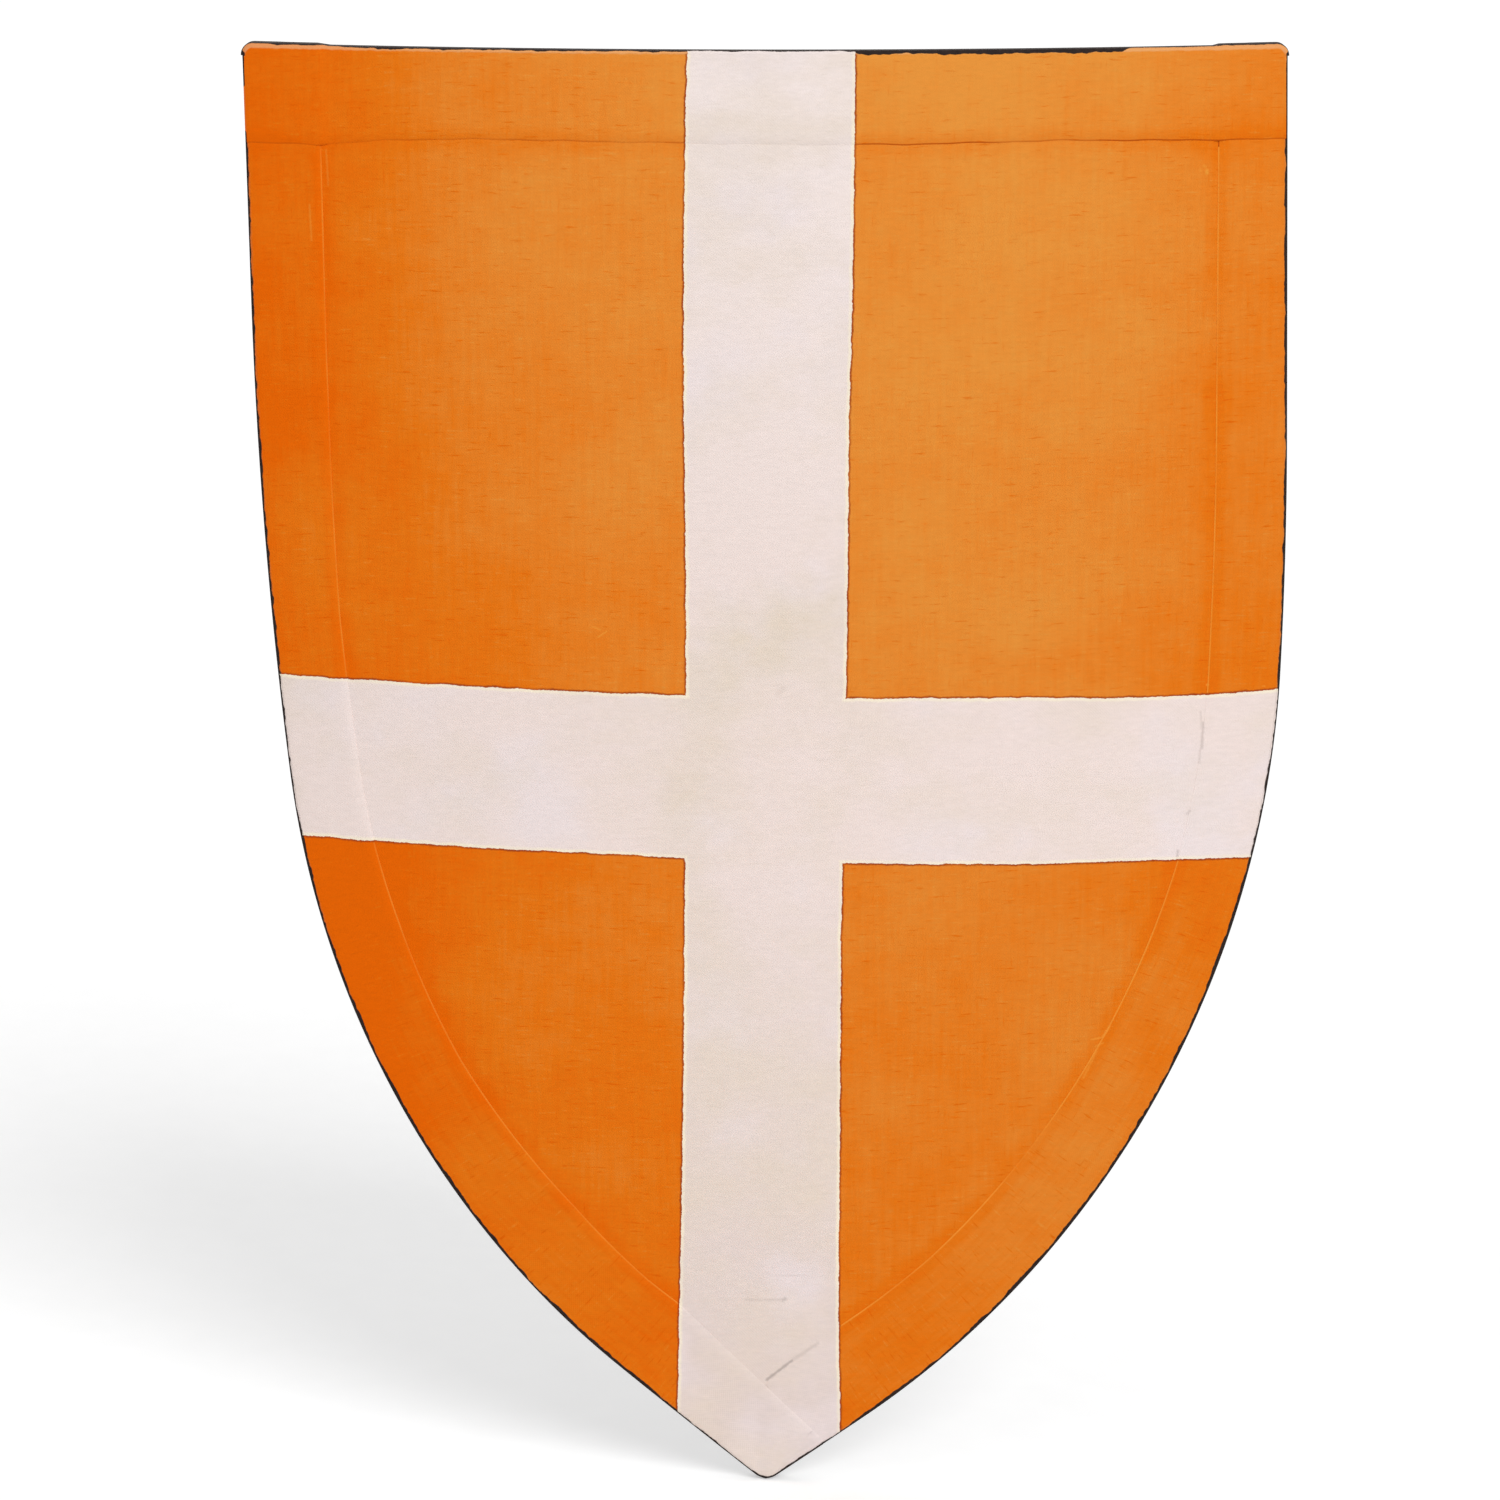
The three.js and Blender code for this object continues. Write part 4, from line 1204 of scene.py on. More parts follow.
    def orange(self, graph: Graph, cross: Outputs, patches: Socket, cloth: Outputs) -> Socket:
        """Mixes the orange: deeper towards both sides, the point and the glued strips' edges, with painted
        light and shade over it: lighter towards the top and the left, a painted highlight beside the side
        strips' edges and painted shade under the top strip's edge.

        Args:
            graph: The material's graph.
            cross: Outputs of the cross.
            patches: Soft patches.
            cloth: Outputs of the weave.

        Returns:
            The colour.
        """
        along, up = cross["Along"], cross["Up"]
        share = graph.scaled(along, 0.99, graph.scaled(up, 0.99, 0.59))
        outer = graph.span(graph.math("ABSOLUTE", along), 0.13, 0.30)
        share = graph.scaled(outer, -0.46, share)
        lip = graph.attribute("lip")
        patchiness = graph.noise(graph.add("ShaderNodeCombineXYZ", {0: along, 1: up}).outputs[0], 16, 2.0)
        band = graph.times(graph.span(lip, 0.010, 0.0016), graph.span(patchiness, 0.3, 0.65, 0.5, 1.2))
        share = graph.scaled(band, -0.17, share)
        share = graph.math("ADD", self.warmth(graph, along, up), share)
        share = graph.scaled(patches, 0.34, share)
        share = graph.scaled(graph.math("SUBTRACT", cloth["Streak"], 0.5), 0.36, share)
        share = graph.scaled(cloth["Slub"], -0.34, share)
        share = graph.scaled(cloth["Pale"], 0.26, share, clamp=True)
        low = graph.blend(graph.span(share, 0.0, 0.35, soft=False), self.deep, self.middle)
        colour = graph.blend(graph.span(share, 0.35, 1.0, soft=False), low, self.pale)
        colour = graph.blend(graph.times(cloth["Slub"], 0.20), colour, self.seam)
        # Painted light and shade: the orange is made lighter towards the top and the left and darker towards
        # the point.
        light = graph.scaled(up, 0.10, graph.scaled(along, -0.05, 0.99))
        colour = graph.vector("SCALE", {0: colour, "Scale": light})[0]
        # Painted light and shade along each strip's inner edge: on the side strips a paler line, partly paint
        # worn on the raised edge and partly a painted highlight, made stronger on the right; under the top
        # strip a darker line of painted shade below its edge.
        head = graph.span(up, 0.2570, 0.2576)
        strength = graph.times(
            graph.span(lip, 0.0011, 0.0003),
            graph.span(patchiness, 0.32, 0.62, 0.15, 0.6),
            graph.span(along, -0.1, 0.1, 0.8, 1.3),
            graph.scaled(head, 0.25, 1.0),
        )
        return graph.blend(strength, colour, graph.blend(head, self.worn, self.seam))

    def warmth(self, graph: Graph, along: Socket, up: Socket) -> Socket:
        """Shifts the orange by region: deeper along the top corners, paler where the flanks turn in.

        Args:
            graph: The material's graph.
            along: Place along the bent front.
            up: Height.

        Returns:
            The shift.
        """
        off_centre = graph.span(graph.math("ABSOLUTE", along), 0.06, 0.17)
        corner = graph.times(graph.span(up, 0.20, 0.29), off_centre)
        flank = graph.times(graph.span(up, -0.12, -0.22), graph.span(along, 0.12, 0.2))
        right = graph.times(graph.span(along, 0.19, 0.25), graph.span(up, 0.06, 0.14))
        both = graph.scaled(corner, -0.12, graph.times(right, -0.08))
        low = graph.times(graph.span(up, -0.14, -0.30), 0.13)
        left = graph.span(along, -0.19, -0.25)
        left = graph.times(left, graph.span(up, 0.13, 0.05), graph.span(up, -0.16, -0.06))
        centred = graph.span(graph.math("ABSOLUTE", along), 0.15, 0.08)
        middle = graph.times(graph.span(up, 0.20, 0.06), centred, graph.span(up, -0.26, -0.16))
        gains = graph.scaled(left, 0.20, graph.scaled(middle, 0.09, low))
        return graph.scaled(flank, 0.10, graph.math("ADD", both, gains))

    def bleached(
        self, graph: Graph, cross: Outputs, place: Socket, patches: Socket, cloth: Outputs
    ) -> Socket:
        """Mixes the white: greyer towards the point, which is painted shade, with faint beige patches and
        streaks.

        Args:
            graph: The material's graph.
            cross: Outputs of the cross.
            place: Place on the object.
            patches: Soft patches.
            cloth: Outputs of the weave.

        Returns:
            The colour.
        """
        along, up = cross["Along"], cross["Up"]
        # Painted shade: the white is lit at the top and shaded towards the point, as the light falls from
        # above.
        colour = graph.blend(graph.span(up, -0.44, -0.12, soft=False), self.white_shaded, self.white_middle)
        colour = graph.blend(graph.span(up, 0.02, 0.28, soft=False), colour, self.white_lit)
        stain = graph.times(graph.span(up, -0.16, -0.26), graph.span(up, -0.38, -0.28))
        cool = graph.span(graph.noise(place, 15, 3.0), 0.46, 0.66, 0.0, 0.55)
        colour = graph.blend(cool, colour, self.cool)
        wide = graph.scaled(graph.span(graph.noise(place, 9, 3.0), 0.42, 0.7), 0.5, patches)
        centred = graph.span(graph.math("ABSOLUTE", along), 0.075, 0.04)
        worn = graph.times(graph.span(up, 0.04, -0.02), graph.span(up, -0.20, -0.12), centred)
        stain = graph.math("MAXIMUM", stain, graph.times(worn, graph.noise(place, 26, 3.0)))
        share = graph.scaled(stain, 0.55, graph.times(wide, 0.9))
        share = graph.scaled(cloth["Slub"], 0.22, share, clamp=True)
        colour = graph.blend(share, colour, self.cream)
        # A paler broken line along the strips' inner edges on the white: partly paint worn on the raised
        # edge, partly a painted highlight.
        broken = graph.span(graph.noise(place, 60, 3.0), 0.4, 0.65, 0.0, 0.24)
        worn_and_lit_edge = graph.times(graph.span(graph.attribute("lip"), 0.0013, 0.0003), broken)
        return graph.blend(worn_and_lit_edge, colour, self.white_lit)

    def rimmed(self, graph: Graph, place: Socket, cross: Outputs, colour: Socket) -> Socket:
        """Adds the dark paint that laps over the edges from the back, and beside it a paler line that is a
        painted highlight, strongest along the top edge.

        Args:
            graph: The material's graph.
            place: Place on the object.
            cross: Outputs of the cross.
            colour: The front's colour.

        Returns:
            The colour.
        """
        along, up = cross["Along"], cross["Up"]
        wide = graph.swing(graph.noise(place, 48, 3.0, 0.6), 0.0040)
        lumps = graph.swing(graph.noise(place, 230, 2.0), 0.0016)
        front = graph.attribute("rim")
        depth = graph.math("ADD", graph.math("ADD", front, 0.0005), graph.math("ADD", wide, lumps))
        depth = graph.scaled(graph.span(up, 0.0, -0.2), 0.0005, depth)
        head = graph.span(up, 0.3060, 0.3080)
        heavy = graph.times(graph.span(along, 0.045, 0.055), graph.span(along, 0.196, 0.188))
        bare = graph.math("MAXIMUM", graph.span(along, 0.190, 0.200), graph.span(along, -0.222, -0.240))
        change = graph.scaled(heavy, 0.0012, graph.scaled(bare, -0.0018, -0.0006))
        depth = graph.scaled(change, head, depth)
        gap = graph.times(graph.span(up, 0.262, 0.266), graph.span(up, 0.290, 0.286))
        gap = graph.times(gap, graph.span(along, -0.26, -0.27))
        depth = graph.scaled(gap, -0.0022, depth)
        depth = graph.scaled(cross["White"], -0.0006, depth)
        # Painted highlight: a paler line just inside the dark rim, pinkish orange on the orange and white on
        # the white, strongest along the top edge where the front's rounded corner catches the light.
        wear_and_highlight = graph.scaled(lumps, 0.8, front)
        wear_and_highlight = graph.times(graph.span(wear_and_highlight, -0.0014, -0.0004), graph.span(up, 0.3050, 0.3080, 0.12, 0.6))
        colour = graph.blend(wear_and_highlight, colour, graph.blend(cross["White"], self.peach_highlight, self.white_lit))
        tone = graph.blend(graph.noise(place, 300, 2.0), self.rim, self.rim_worn)
        return graph.blend(graph.span(depth, -0.0002, 0.0002), colour, tone)


@dataclass(frozen=True)
class BackLinen:
    """Dark brown paint on the hollow side's linen, worn thin on the threads."""

    name: str = "back_linen"
    paint: Colour = linear(52, 37, 29)
    dark: Colour = linear(33, 24, 20)
    thread: Colour = linear(112, 86, 62)

    def build(self, effects: Effects) -> Material:
        """Builds the material.

        Args:
            effects: The shared effects.

        Returns:
            The material.
        """
        material, graph, shader = new_material(self.name)
        place = graph.place()
        cloth = effects.weave.use(graph, {"Map": graph.cloth_map(), "Pitch": 0.0011})
        patches = effects.mottle.use(graph, {"Place": place, "Coarse": 8.0, "Fine": 60.0})[0]
        strokes = graph.noise(graph.stretch(place, (18, 18, 260), (0, 0.25, 0)), 1.0, 3.0, 0.6)
        share = graph.scaled(patches, 0.5, graph.span(strokes, 0.3, 0.7), clamp=True)
        colour = graph.blend(share, self.dark, self.paint)
        wear_and_highlight = graph.times(graph.span(patches, 0.05, 0.5), graph.span(cloth["Height"], 0.55, 1.1))
        colour = graph.blend(graph.times(wear_and_highlight, 0.55), colour, self.thread)
        rough = graph.span(strokes, 0.3, 0.7, 0.5, 0.68)
        normal = graph.bump(cloth["Height"], 0.00012, 0.9, graph.bump(strokes, 0.00025, 0.7))
        shader.inputs["Specular IOR Level"].default_value = 0.3
        graph.fill(shader, {"Base Color": colour, "Roughness": rough, "Normal": normal})
        return material


@dataclass(frozen=True)
class Leather:
    """Oiled leather with pores, creases, a tooled line and burnished edges."""

    name: str
    deep: Colour
    pale: Colour
    edge: Colour
    grain: float = 900.0
    roughness: float = 0.5

    def build(self, effects: Effects) -> Material:
        """Builds the material.

        Args:
            effects: The shared effects.

        Returns:
            The material.
        """
        material, graph, shader = new_material(self.name)
        place = graph.place()
        hide = effects.hide.use(graph, {"Place": place, "Edge": graph.attribute("edge"), "Grain": self.grain})
        colour = graph.blend(graph.span(hide["Tone"], 0.2, 0.8), self.deep, self.pale)
        colour = graph.blend(graph.times(hide["Burnish"], 0.85), colour, self.edge)
        rough = graph.span(hide["Tone"], 0.2, 0.8, self.roughness - 0.08, self.roughness + 0.14)
        shader.inputs["Specular IOR Level"].default_value = 0.4
        normal = graph.bump(hide["Height"], 0.00018, 0.7)
        graph.fill(shader, {"Base Color": colour, "Roughness": rough, "Normal": normal})
        return material


@dataclass(frozen=True)
class Thread:
    """Waxed linen thread, two-ply."""

    name: str = "waxed_thread"
    pale: Colour = linear(206, 187, 148)
    dark: Colour = linear(140, 116, 80)

    def build(self, effects: Effects) -> Material:
        """Builds the material.

        Args:
            effects: The shared effects.

        Returns:
            The material.
        """
        material, graph, shader = new_material(self.name)
        place = graph.place()
        patches = effects.mottle.use(graph, {"Place": place, "Coarse": 120.0, "Fine": 900.0})[0]
        colour = graph.blend(graph.scaled(patches, 0.8, 0.5, clamp=True), self.dark, self.pale)
        shader.inputs["Roughness"].default_value = 0.7
        ply = graph.noise(graph.stretch(place, (2600, 2600, 2600)), 1.0, 1.0)
        graph.fill(shader, {"Base Color": colour, "Normal": graph.bump(ply, 0.0001, 0.8)})
        return material


@dataclass(frozen=True)
class Metal:
    """Hand-worked metal with dull patches."""

    name: str
    bright: Colour
    dull: Colour
    polish: float
    dents: float = 500.0
    dent_depth: float = 0.0002
    metallic_dull: float = 0.75

    def build(self, effects: Effects) -> Material:
        """Builds the material.

        Args:
            effects: The shared effects.

        Returns:
            The material.
        """
        material, graph, shader = new_material(self.name)
        work = effects.hammer.use(graph, {"Place": graph.place(), "Dents": self.dents})
        inputs = {
            "Base Color": graph.blend(work["Dull"], self.bright, self.dull),
            "Roughness": graph.span(work["Dull"], 0.0, 1.0, self.polish, self.polish + 0.28),
            "Metallic": graph.span(work["Dull"], 0.0, 1.0, 1.0, self.metallic_dull),
            "Normal": graph.bump(work["Height"], self.dent_depth, 0.6),
        }
        graph.fill(shader, inputs)
        return material


@dataclass(frozen=True)
class Ply:
    """Bare ply with an upright grain, painted where its side edges show at the top corners."""

    name: str = "plywood"
    pale: Colour = linear(214, 178, 128)
    dark: Colour = linear(158, 116, 70)
    painted: Colour = linear(34, 28, 28)
    bare_half: float = 0.2772

    def build(self, effects: Effects) -> Material:
        """Builds the material.

        Args:
            effects: The shared effects.

        Returns:
            The material.
        """
        material, graph, shader = new_material(self.name)
        place = graph.place()
        patches = effects.mottle.use(graph, {"Place": place, "Coarse": 12.0, "Fine": 90.0})[0]
        grain = graph.noise(graph.stretch(place, (260, 260, 7)), 1.0, 4.0, 0.65)
        share = graph.scaled(patches, 0.3, graph.span(grain, 0.25, 0.75), clamp=True)
        side = graph.math("ABSOLUTE", graph.add("ShaderNodeSeparateXYZ", {0: place}).outputs[0])
        painted = graph.span(side, self.bare_half, self.bare_half + 0.0006)
        colour = graph.blend(painted, graph.blend(share, self.dark, self.pale), self.painted)
        rough = graph.span(grain, 0.2, 0.8, 0.55, 0.75)
        normal = graph.bump(grain, 0.0002, 0.5)
        graph.fill(shader, {"Base Color": colour, "Roughness": rough, "Normal": normal})
        return material


class Palette:
    """Every finish of the shield, built once."""

    def __init__(self) -> None:
        """Builds the effects and the finishes."""
        effects = Effects()
        self.linen = PaintedLinen().build(effects)
        self.back = BackLinen().build(effects)
        self.strap = Leather(
            "strap_leather", linear(74, 42, 24), linear(134, 84, 48), linear(42, 25, 16)
        ).build(effects)
        self.pad = Leather(
            "soft_leather", linear(118, 74, 42), linear(172, 120, 76), linear(78, 48, 28), 620.0, 0.58
        ).build(effects)
        self.thread = Thread().build(effects)
        self.copper = Metal("copper", linear(206, 128, 92), linear(118, 68, 48), 0.3).build(effects)
        self.brass = Metal("brass", linear(208, 172, 104), linear(120, 92, 50), 0.28, 420.0).build(effects)
        iron = Metal("iron", linear(128, 124, 120), linear(52, 47, 44), 0.34, 380.0, 0.0003, 0.6)
        self.iron = iron.build(effects)
        self.ply = Ply().build(effects)


# Glued cloth


@dataclass(frozen=True)
class Spot:
    """One point of a cloth: where it lies, and what its finish reads there."""

    place: Vector
    rim: float
    lip: float
    weave: Pair


@dataclass
class Cloth:
    """A cloth that is built row by row; a row may be shorter than the ones beside it."""

    rows: list[list[Spot]] = field(default_factory=list)

    def build(self, name: str, thickness: float, facing: float) -> Piece:
        """Builds the cloth with its thickness.

        Args:
            name: The piece's name.
            thickness: Its thickness, away from the side that shows.
            facing: -1 where its first face looks forward, 1 where it looks back.

        Returns:
            The closed piece.
        """
        starts = np.cumsum([0] + [len(row) for row in self.rows])
        faces = []
        for i, (row, after) in enumerate(zip(self.rows, self.rows[1:])):
            for j in range(min(len(row), len(after)) - 1):
                a, b = int(starts[i]) + j, int(starts[i + 1]) + j
                faces.append((a, a + 1, b + 1, b))
        spots = [spot for row in self.rows for spot in row]
        middle = faces[len(self.rows[0]) // 2]
        corners = [spots[k].place for k in middle]
        if (corners[1] - corners[0]).cross(corners[2] - corners[0]).y * facing < 0:
            faces = [tuple(reversed(f)) for f in faces]
        piece = mesh_object(name, [spot.place for spot in spots], faces)
        store(piece, "rim", (spot.rim for spot in spots))
        store(piece, "lip", (spot.lip for spot in spots))
        store_map(piece, "Cloth", [spot.weave for spot in spots])
        solid = piece.modifiers.new("thickness", "SOLIDIFY")
        solid.thickness = thickness
        solid.offset = -1
        apply_modifiers(piece)
        shade(piece, 50)
        return piece


def reach_at(z: float) -> tuple[float, float]:
    """Finds the outline's left and right ends at a height.

    Args:
        z: The height.

    Returns:
        The left end and the right end.
    """
    ends = []
    for stations in (LEFT_STATIONS, RIGHT_STATIONS):
        heights = [s.point.y for s in reversed(stations)]
        ends.append(float(np.interp(z, heights, [s.point.x for s in reversed(stations)])))
    return ends[0], ends[1]


@dataclass
class Linen:
    """The linen on the front and on the hollow side, cut a little inside the edge."""

    step: float = 0.004
    inset: float = 0.0008
    front_thickness: float = 0.0007
    back_thickness: float = 0.0008
    columns: int = 140

    def sheet(self, depth: float, clear: Callable[[float, float], float]) -> Cloth:
        """Lays one cloth over the whole outline.

        Args:
            depth: Depth of the side that shows.
            clear: Gives a place's distance from the strips.

        Returns:
            The cloth.
        """
        cloth = Cloth()
        low, high = -BOARD.tip + 2 * self.inset, BOARD.top - self.inset
        count = math.ceil((high - low) / self.step)
        for i in range(count + 1):
            z = high + (low - high) * i / count
            left, right = reach_at(z)
            left, right = left + self.inset, right - self.inset
            row = []
            for j in range(self.columns + 1):
                x = left + (right - left) * j / self.columns
                along = BOARD.bend_radius * math.asin(x / BOARD.bend_radius)
                row.append(Spot(BOARD.place(x, z, depth), -0.2, clear(x, z), (along, z)))
            cloth.rows.append(row)
        return cloth

    def build(self, palette: Palette, strips: "EdgeStrips") -> None:
        """Builds and dresses both cloths.

        Args:
            palette: The finishes.
            strips: The strips that are glued over the front.
        """
        front = self.sheet(BOARD.cover_level, strips.clear_of).build("linen_front", self.front_thickness, -1)
        settle(front, palette.linen, Body.BOARD, Slot.PAINTED_LINEN, "front_cover")
        back = self.sheet(BOARD.rear_level, lambda x, z: 0.05).build("linen_back", self.back_thickness, 1)
        settle(back, palette.back, Body.BOARD, Slot.BACK_LINEN, "back_lining")


@dataclass
class EdgeStrips:
    """Three linen strips glued over the edge; the top one lies on both others, the left on the right."""

    thickness: float = 0.0006
    lap: float = 0.0009
    shoulder: float = 0.0030
    rear_rounding: float = 0.0012
    set_back: float = 0.001
    far_lip: float = 0.05
    rear_leg: float = 0.020
    side_top: float = 0.3047
    tip_gap: float = 0.0003
    left_widths: tuple[Pair, ...] = (
        (-470, 39.7), (-411, 48.4), (-397, 47.6), (-352, 47.6), (-261, 42.2), (-178, 40.9),
        (-132, 39.4), (-37, 37.5), (-1, 37.2), (122, 39.9), (293, 41.1),
    )
    right_widths: tuple[Pair, ...] = (
        (-458, 47.3), (-444, 47.4), (-426, 49.6), (-383, 46.6), (-141, 39.9), (1, 39.7), (297, 37.1),
    )
    seam: tuple[Pair, ...] = (
        (-280, 258.0), (-240, 258.2), (-200, 261.6), (-150, 263.0), (-88, 262.4), (-45, 262.1),
        (74, 261.1), (156, 262.4), (240, 260.9), (280, 260.5),
    )
    lip_steps: tuple[float, ...] = (0.0, 0.0005, 0.0014, 0.0028, 0.0044, 0.0062)
    lip_drops: tuple[float, ...] = (0.00088, 0.00074, 0.00050, 0.00022, 0.00005, 0.0)
    side_reach: float = 0.0020
    lap_reach: float = 0.00245
    lap_along: Pair = (0.7175, -0.6966)

    @staticmethod
    def read(table: tuple[Pair, ...], place: float) -> float:
        """Returns a table's value in metres at a place in metres."""
        return float(np.interp(place / MILLIMETRE, [a for a, _ in table], [b for _, b in table])) * MILLIMETRE

    def clear_of(self, x: float, z: float) -> float:
        """Says how far a place of the linen lies inside the strips' inner edges.

        Args:
            x: Across the board.
            z: Up the board.

        Returns:
            The distance, never less than the width of the strips' edge line.
        """
        found = self.read(self.seam, x) - z
        for points, widths in ((LEFT_POINTS, self.left_widths), (RIGHT_POINTS, self.right_widths)):
            away = np.hypot(points[:, 0] - x, points[:, 1] - z)
            nearest = int(away.argmin())
            found = min(found, float(away[nearest]) - self.read(widths, float(points[nearest][1])))
        return max(found, 0.0016)

    def front(self, start: Vector, end: Vector, level: Callable[[Vector], float], run: float) -> list[Spot]:
        """Lays a row's front leg from the strip's inner edge to where it starts to round over.

        Args:
            start: Inner end in X and Z.
            end: Outer end in X and Z.
            level: Depth of the strip's face at a place.
            run: Distance along the strip, for its weave.

        Returns:
            The spots.
        """
        length = max((end - start).length, 1e-5)
        shrink = min(1.0, length / 0.010)
        reaches = [d * shrink for d in self.lip_steps]
        reaches += [reaches[-1] + (length - reaches[-1]) * k / 9 for k in range(1, 10)]
        drops = list(self.lip_drops) + [0.0] * 9
        spots = []
        for reach, drop in zip(reaches, drops):
            at = start.lerp(end, reach / length)
            rim = reach - length - self.set_back
            spots.append(Spot(BOARD.place(at.x, at.y, level(at) + drop), rim, reach, (reach, run)))
        return spots

    def wrap(
        self, station: Station, level: float, run: float, reach: float, turn: float = 90.0
    ) -> list[Spot]:
        """Rounds a row over the board's front edge.

        Args:
            station: The outline's station.
            level: Depth of the strip's front face there.
            run: Distance along the strip.
            reach: How far the rounding reaches outwards.
            turn: How far the row rounds, in degrees.

        Returns:
            The spots after the front leg.
        """
        radius = self.shoulder - level
        spots = []
        for k in range(1, 7):
            angle = math.radians(turn) * k / 6
            at = station.point + station.normal * (reach * math.sin(angle) - self.set_back)
            depth = self.shoulder - radius * math.cos(angle)
            arc = radius * angle
            place = BOARD.place(at.x, at.y, depth)
            spots.append(Spot(place, arc - self.set_back, self.far_lip, (self.far_lip + arc, run)))
        return spots

    def tail(self, station: Station, reach: float, run: float, end: Vector, rear: float) -> list[Spot]:
        """Runs a row down the edge and over the hollow side.

        Args:
            station: The outline's station.
            reach: How far the rounding reached outwards.
            run: Distance along the strip.
            end: Inner end of the rear leg in X and Z.
            rear: Depth of the rear leg's face.

        Returns:
            The spots.
        """
        proud = reach - self.set_back
        rounding = self.rear_rounding
        spots = []
        for depth in (0.0055, 0.0085, rear - rounding):
            at = station.point + station.normal * proud
            place = BOARD.place(at.x, at.y, depth)
            spots.append(Spot(place, depth, self.far_lip, (self.far_lip + depth, run)))
        for k in range(1, 4):
            angle = math.radians(30 * k)
            at = station.point + station.normal * (proud - rounding * (1 - math.cos(angle)))
            depth = rear - rounding * (1 - math.sin(angle))
            spots.append(Spot(BOARD.place(at.x, at.y, depth), 0.012, self.far_lip, (0.062, run)))
        start = station.point + station.normal * (proud - rounding)
        for share, drop in ((0.25, 0.0), (0.5, 0.0), (0.75, 0.0), (0.975, 0.0), (1.0, 0.0003)):
            at = start.lerp(end, share)
            place = BOARD.place(at.x, at.y, rear - drop)
            spots.append(Spot(place, 0.02, self.far_lip, (0.065 + self.rear_leg * share, run)))
        return spots

    @staticmethod
    def runs(stations: Sequence[Station]) -> list[float]:
        """Returns the distance along the outline at each station."""
        steps = [(b.point - a.point).length for a, b in zip(stations, stations[1:])]
        return [0.0] + [float(d) for d in np.cumsum(steps)]

    @staticmethod
    def foot(point: Vector, origin: Vector, along: Vector) -> Vector:
        """Returns the nearest point of a straight line."""
        return origin + along * (point - origin).dot(along)

    def left_level(self, at: Vector) -> float:
        """Returns the left strip's depth: it climbs over the right one at the point."""
        return BOARD.strip_level - self.lap * smooth(-0.0025, 0.001, at.x)

    def left_reach(self, at: Vector) -> float:
        """Returns how far the left strip's rounding reaches: further where it lies on the right one."""
        return self.side_reach + (self.lap_reach - self.side_reach) * smooth(-0.0025, 0.001, at.x)

    def side(self, stations: Sequence[Station], widths: tuple[Pair, ...], left: bool) -> Cloth:
        """Lays a side strip.

        Args:
            stations: The side's stations, top to bottom.
            widths: The strip's width at each height.
            left: Whether this is the strip that laps over the other at the point.

        Returns:
            The cloth.
        """
        cloth = Cloth()
        level = self.left_level if left else lambda at: BOARD.strip_level
        kept = [s for s in stations if s.point.y <= self.side_top]
        runs = self.runs(kept)
        centre = TIP_CENTRE
        round_tip = [(s.point - centre).length < BOARD.tip_radius + 1e-5 and s.point.y < -0.4 for s in kept]
        last = round_tip.index(True)
        normal = kept[last].normal
        along = Vector((-normal.y, normal.x))
        front_leg = self.read(widths, kept[last].point.y)
        origins = {w: kept[last].point - normal * w for w in (front_leg, self.rear_leg)}
        front_origin, rear_origin = origins.values()
        front_along = Vector(self.lap_along) if left else along
        for i, (station, run) in enumerate(zip(kept, runs)):
            if round_tip[i]:
                inner = self.foot(station.point, front_origin, front_along)
                rear_end = self.foot(station.point, rear_origin, along)
            else:
                inner = station.point - station.normal * self.read(widths, station.point.y)
                rear_end = station.point - station.normal * self.rear_leg
            outer = station.point - station.normal * 0.001
            if not left:
                if outer.x < self.tip_gap + 0.0002:
                    break
                if inner.x < self.tip_gap:
                    inner = outer.lerp(inner, (outer.x - self.tip_gap) / (outer.x - inner.x))
            side = -1 if left else 1
            rear_end = Vector((side * max(side * rear_end.x, 0.0002), rear_end.y))
            reach = self.left_reach(outer) if left else self.side_reach
            row = self.front(inner, outer, level, run) + self.wrap(station, level(outer), run, reach)
            row += self.tail(station, reach, run, rear_end, BOARD.strip_rear)
            cloth.rows.append(row)
        if left:
            self.lap_rows(cloth, front_origin, front_along, runs[-1])
        return cloth

    def lap_rows(self, cloth: Cloth, origin: Vector, along: Vector, run: float) -> None:
        """Runs the left strip straight on over the end of the right one.

        Args:
            cloth: The left strip's cloth.
            origin: A point of its inner edge.
            along: The direction in which that edge runs on.
            run: Distance along the strip at the tip.
        """
        across = Vector((-along.y, along.x))
        before = RIGHT_STATIONS[-1].point
        for station in reversed(RIGHT_STATIONS[:-1]):
            run += (station.point - before).length
            before = station.point
            outer = station.point - station.normal * 0.001
            inner = self.foot(outer, origin, along)
            if abs((outer - origin).dot(across)) < 0.0008 or (outer - inner).dot(across) * across.y > 0:
                break
            row = self.wrap(station, self.left_level(outer), run, self.left_reach(outer), 42)
            cloth.rows.append(self.front(inner, outer, self.left_level, run) + row)

    def top_level(self, at: Vector) -> float:
        """Returns the top strip's depth: it climbs over both side strips."""
        step = smooth(0.2352, 0.2386, -at.x) + smooth(0.2392, 0.2426, at.x)
        return BOARD.strip_level - self.lap * step

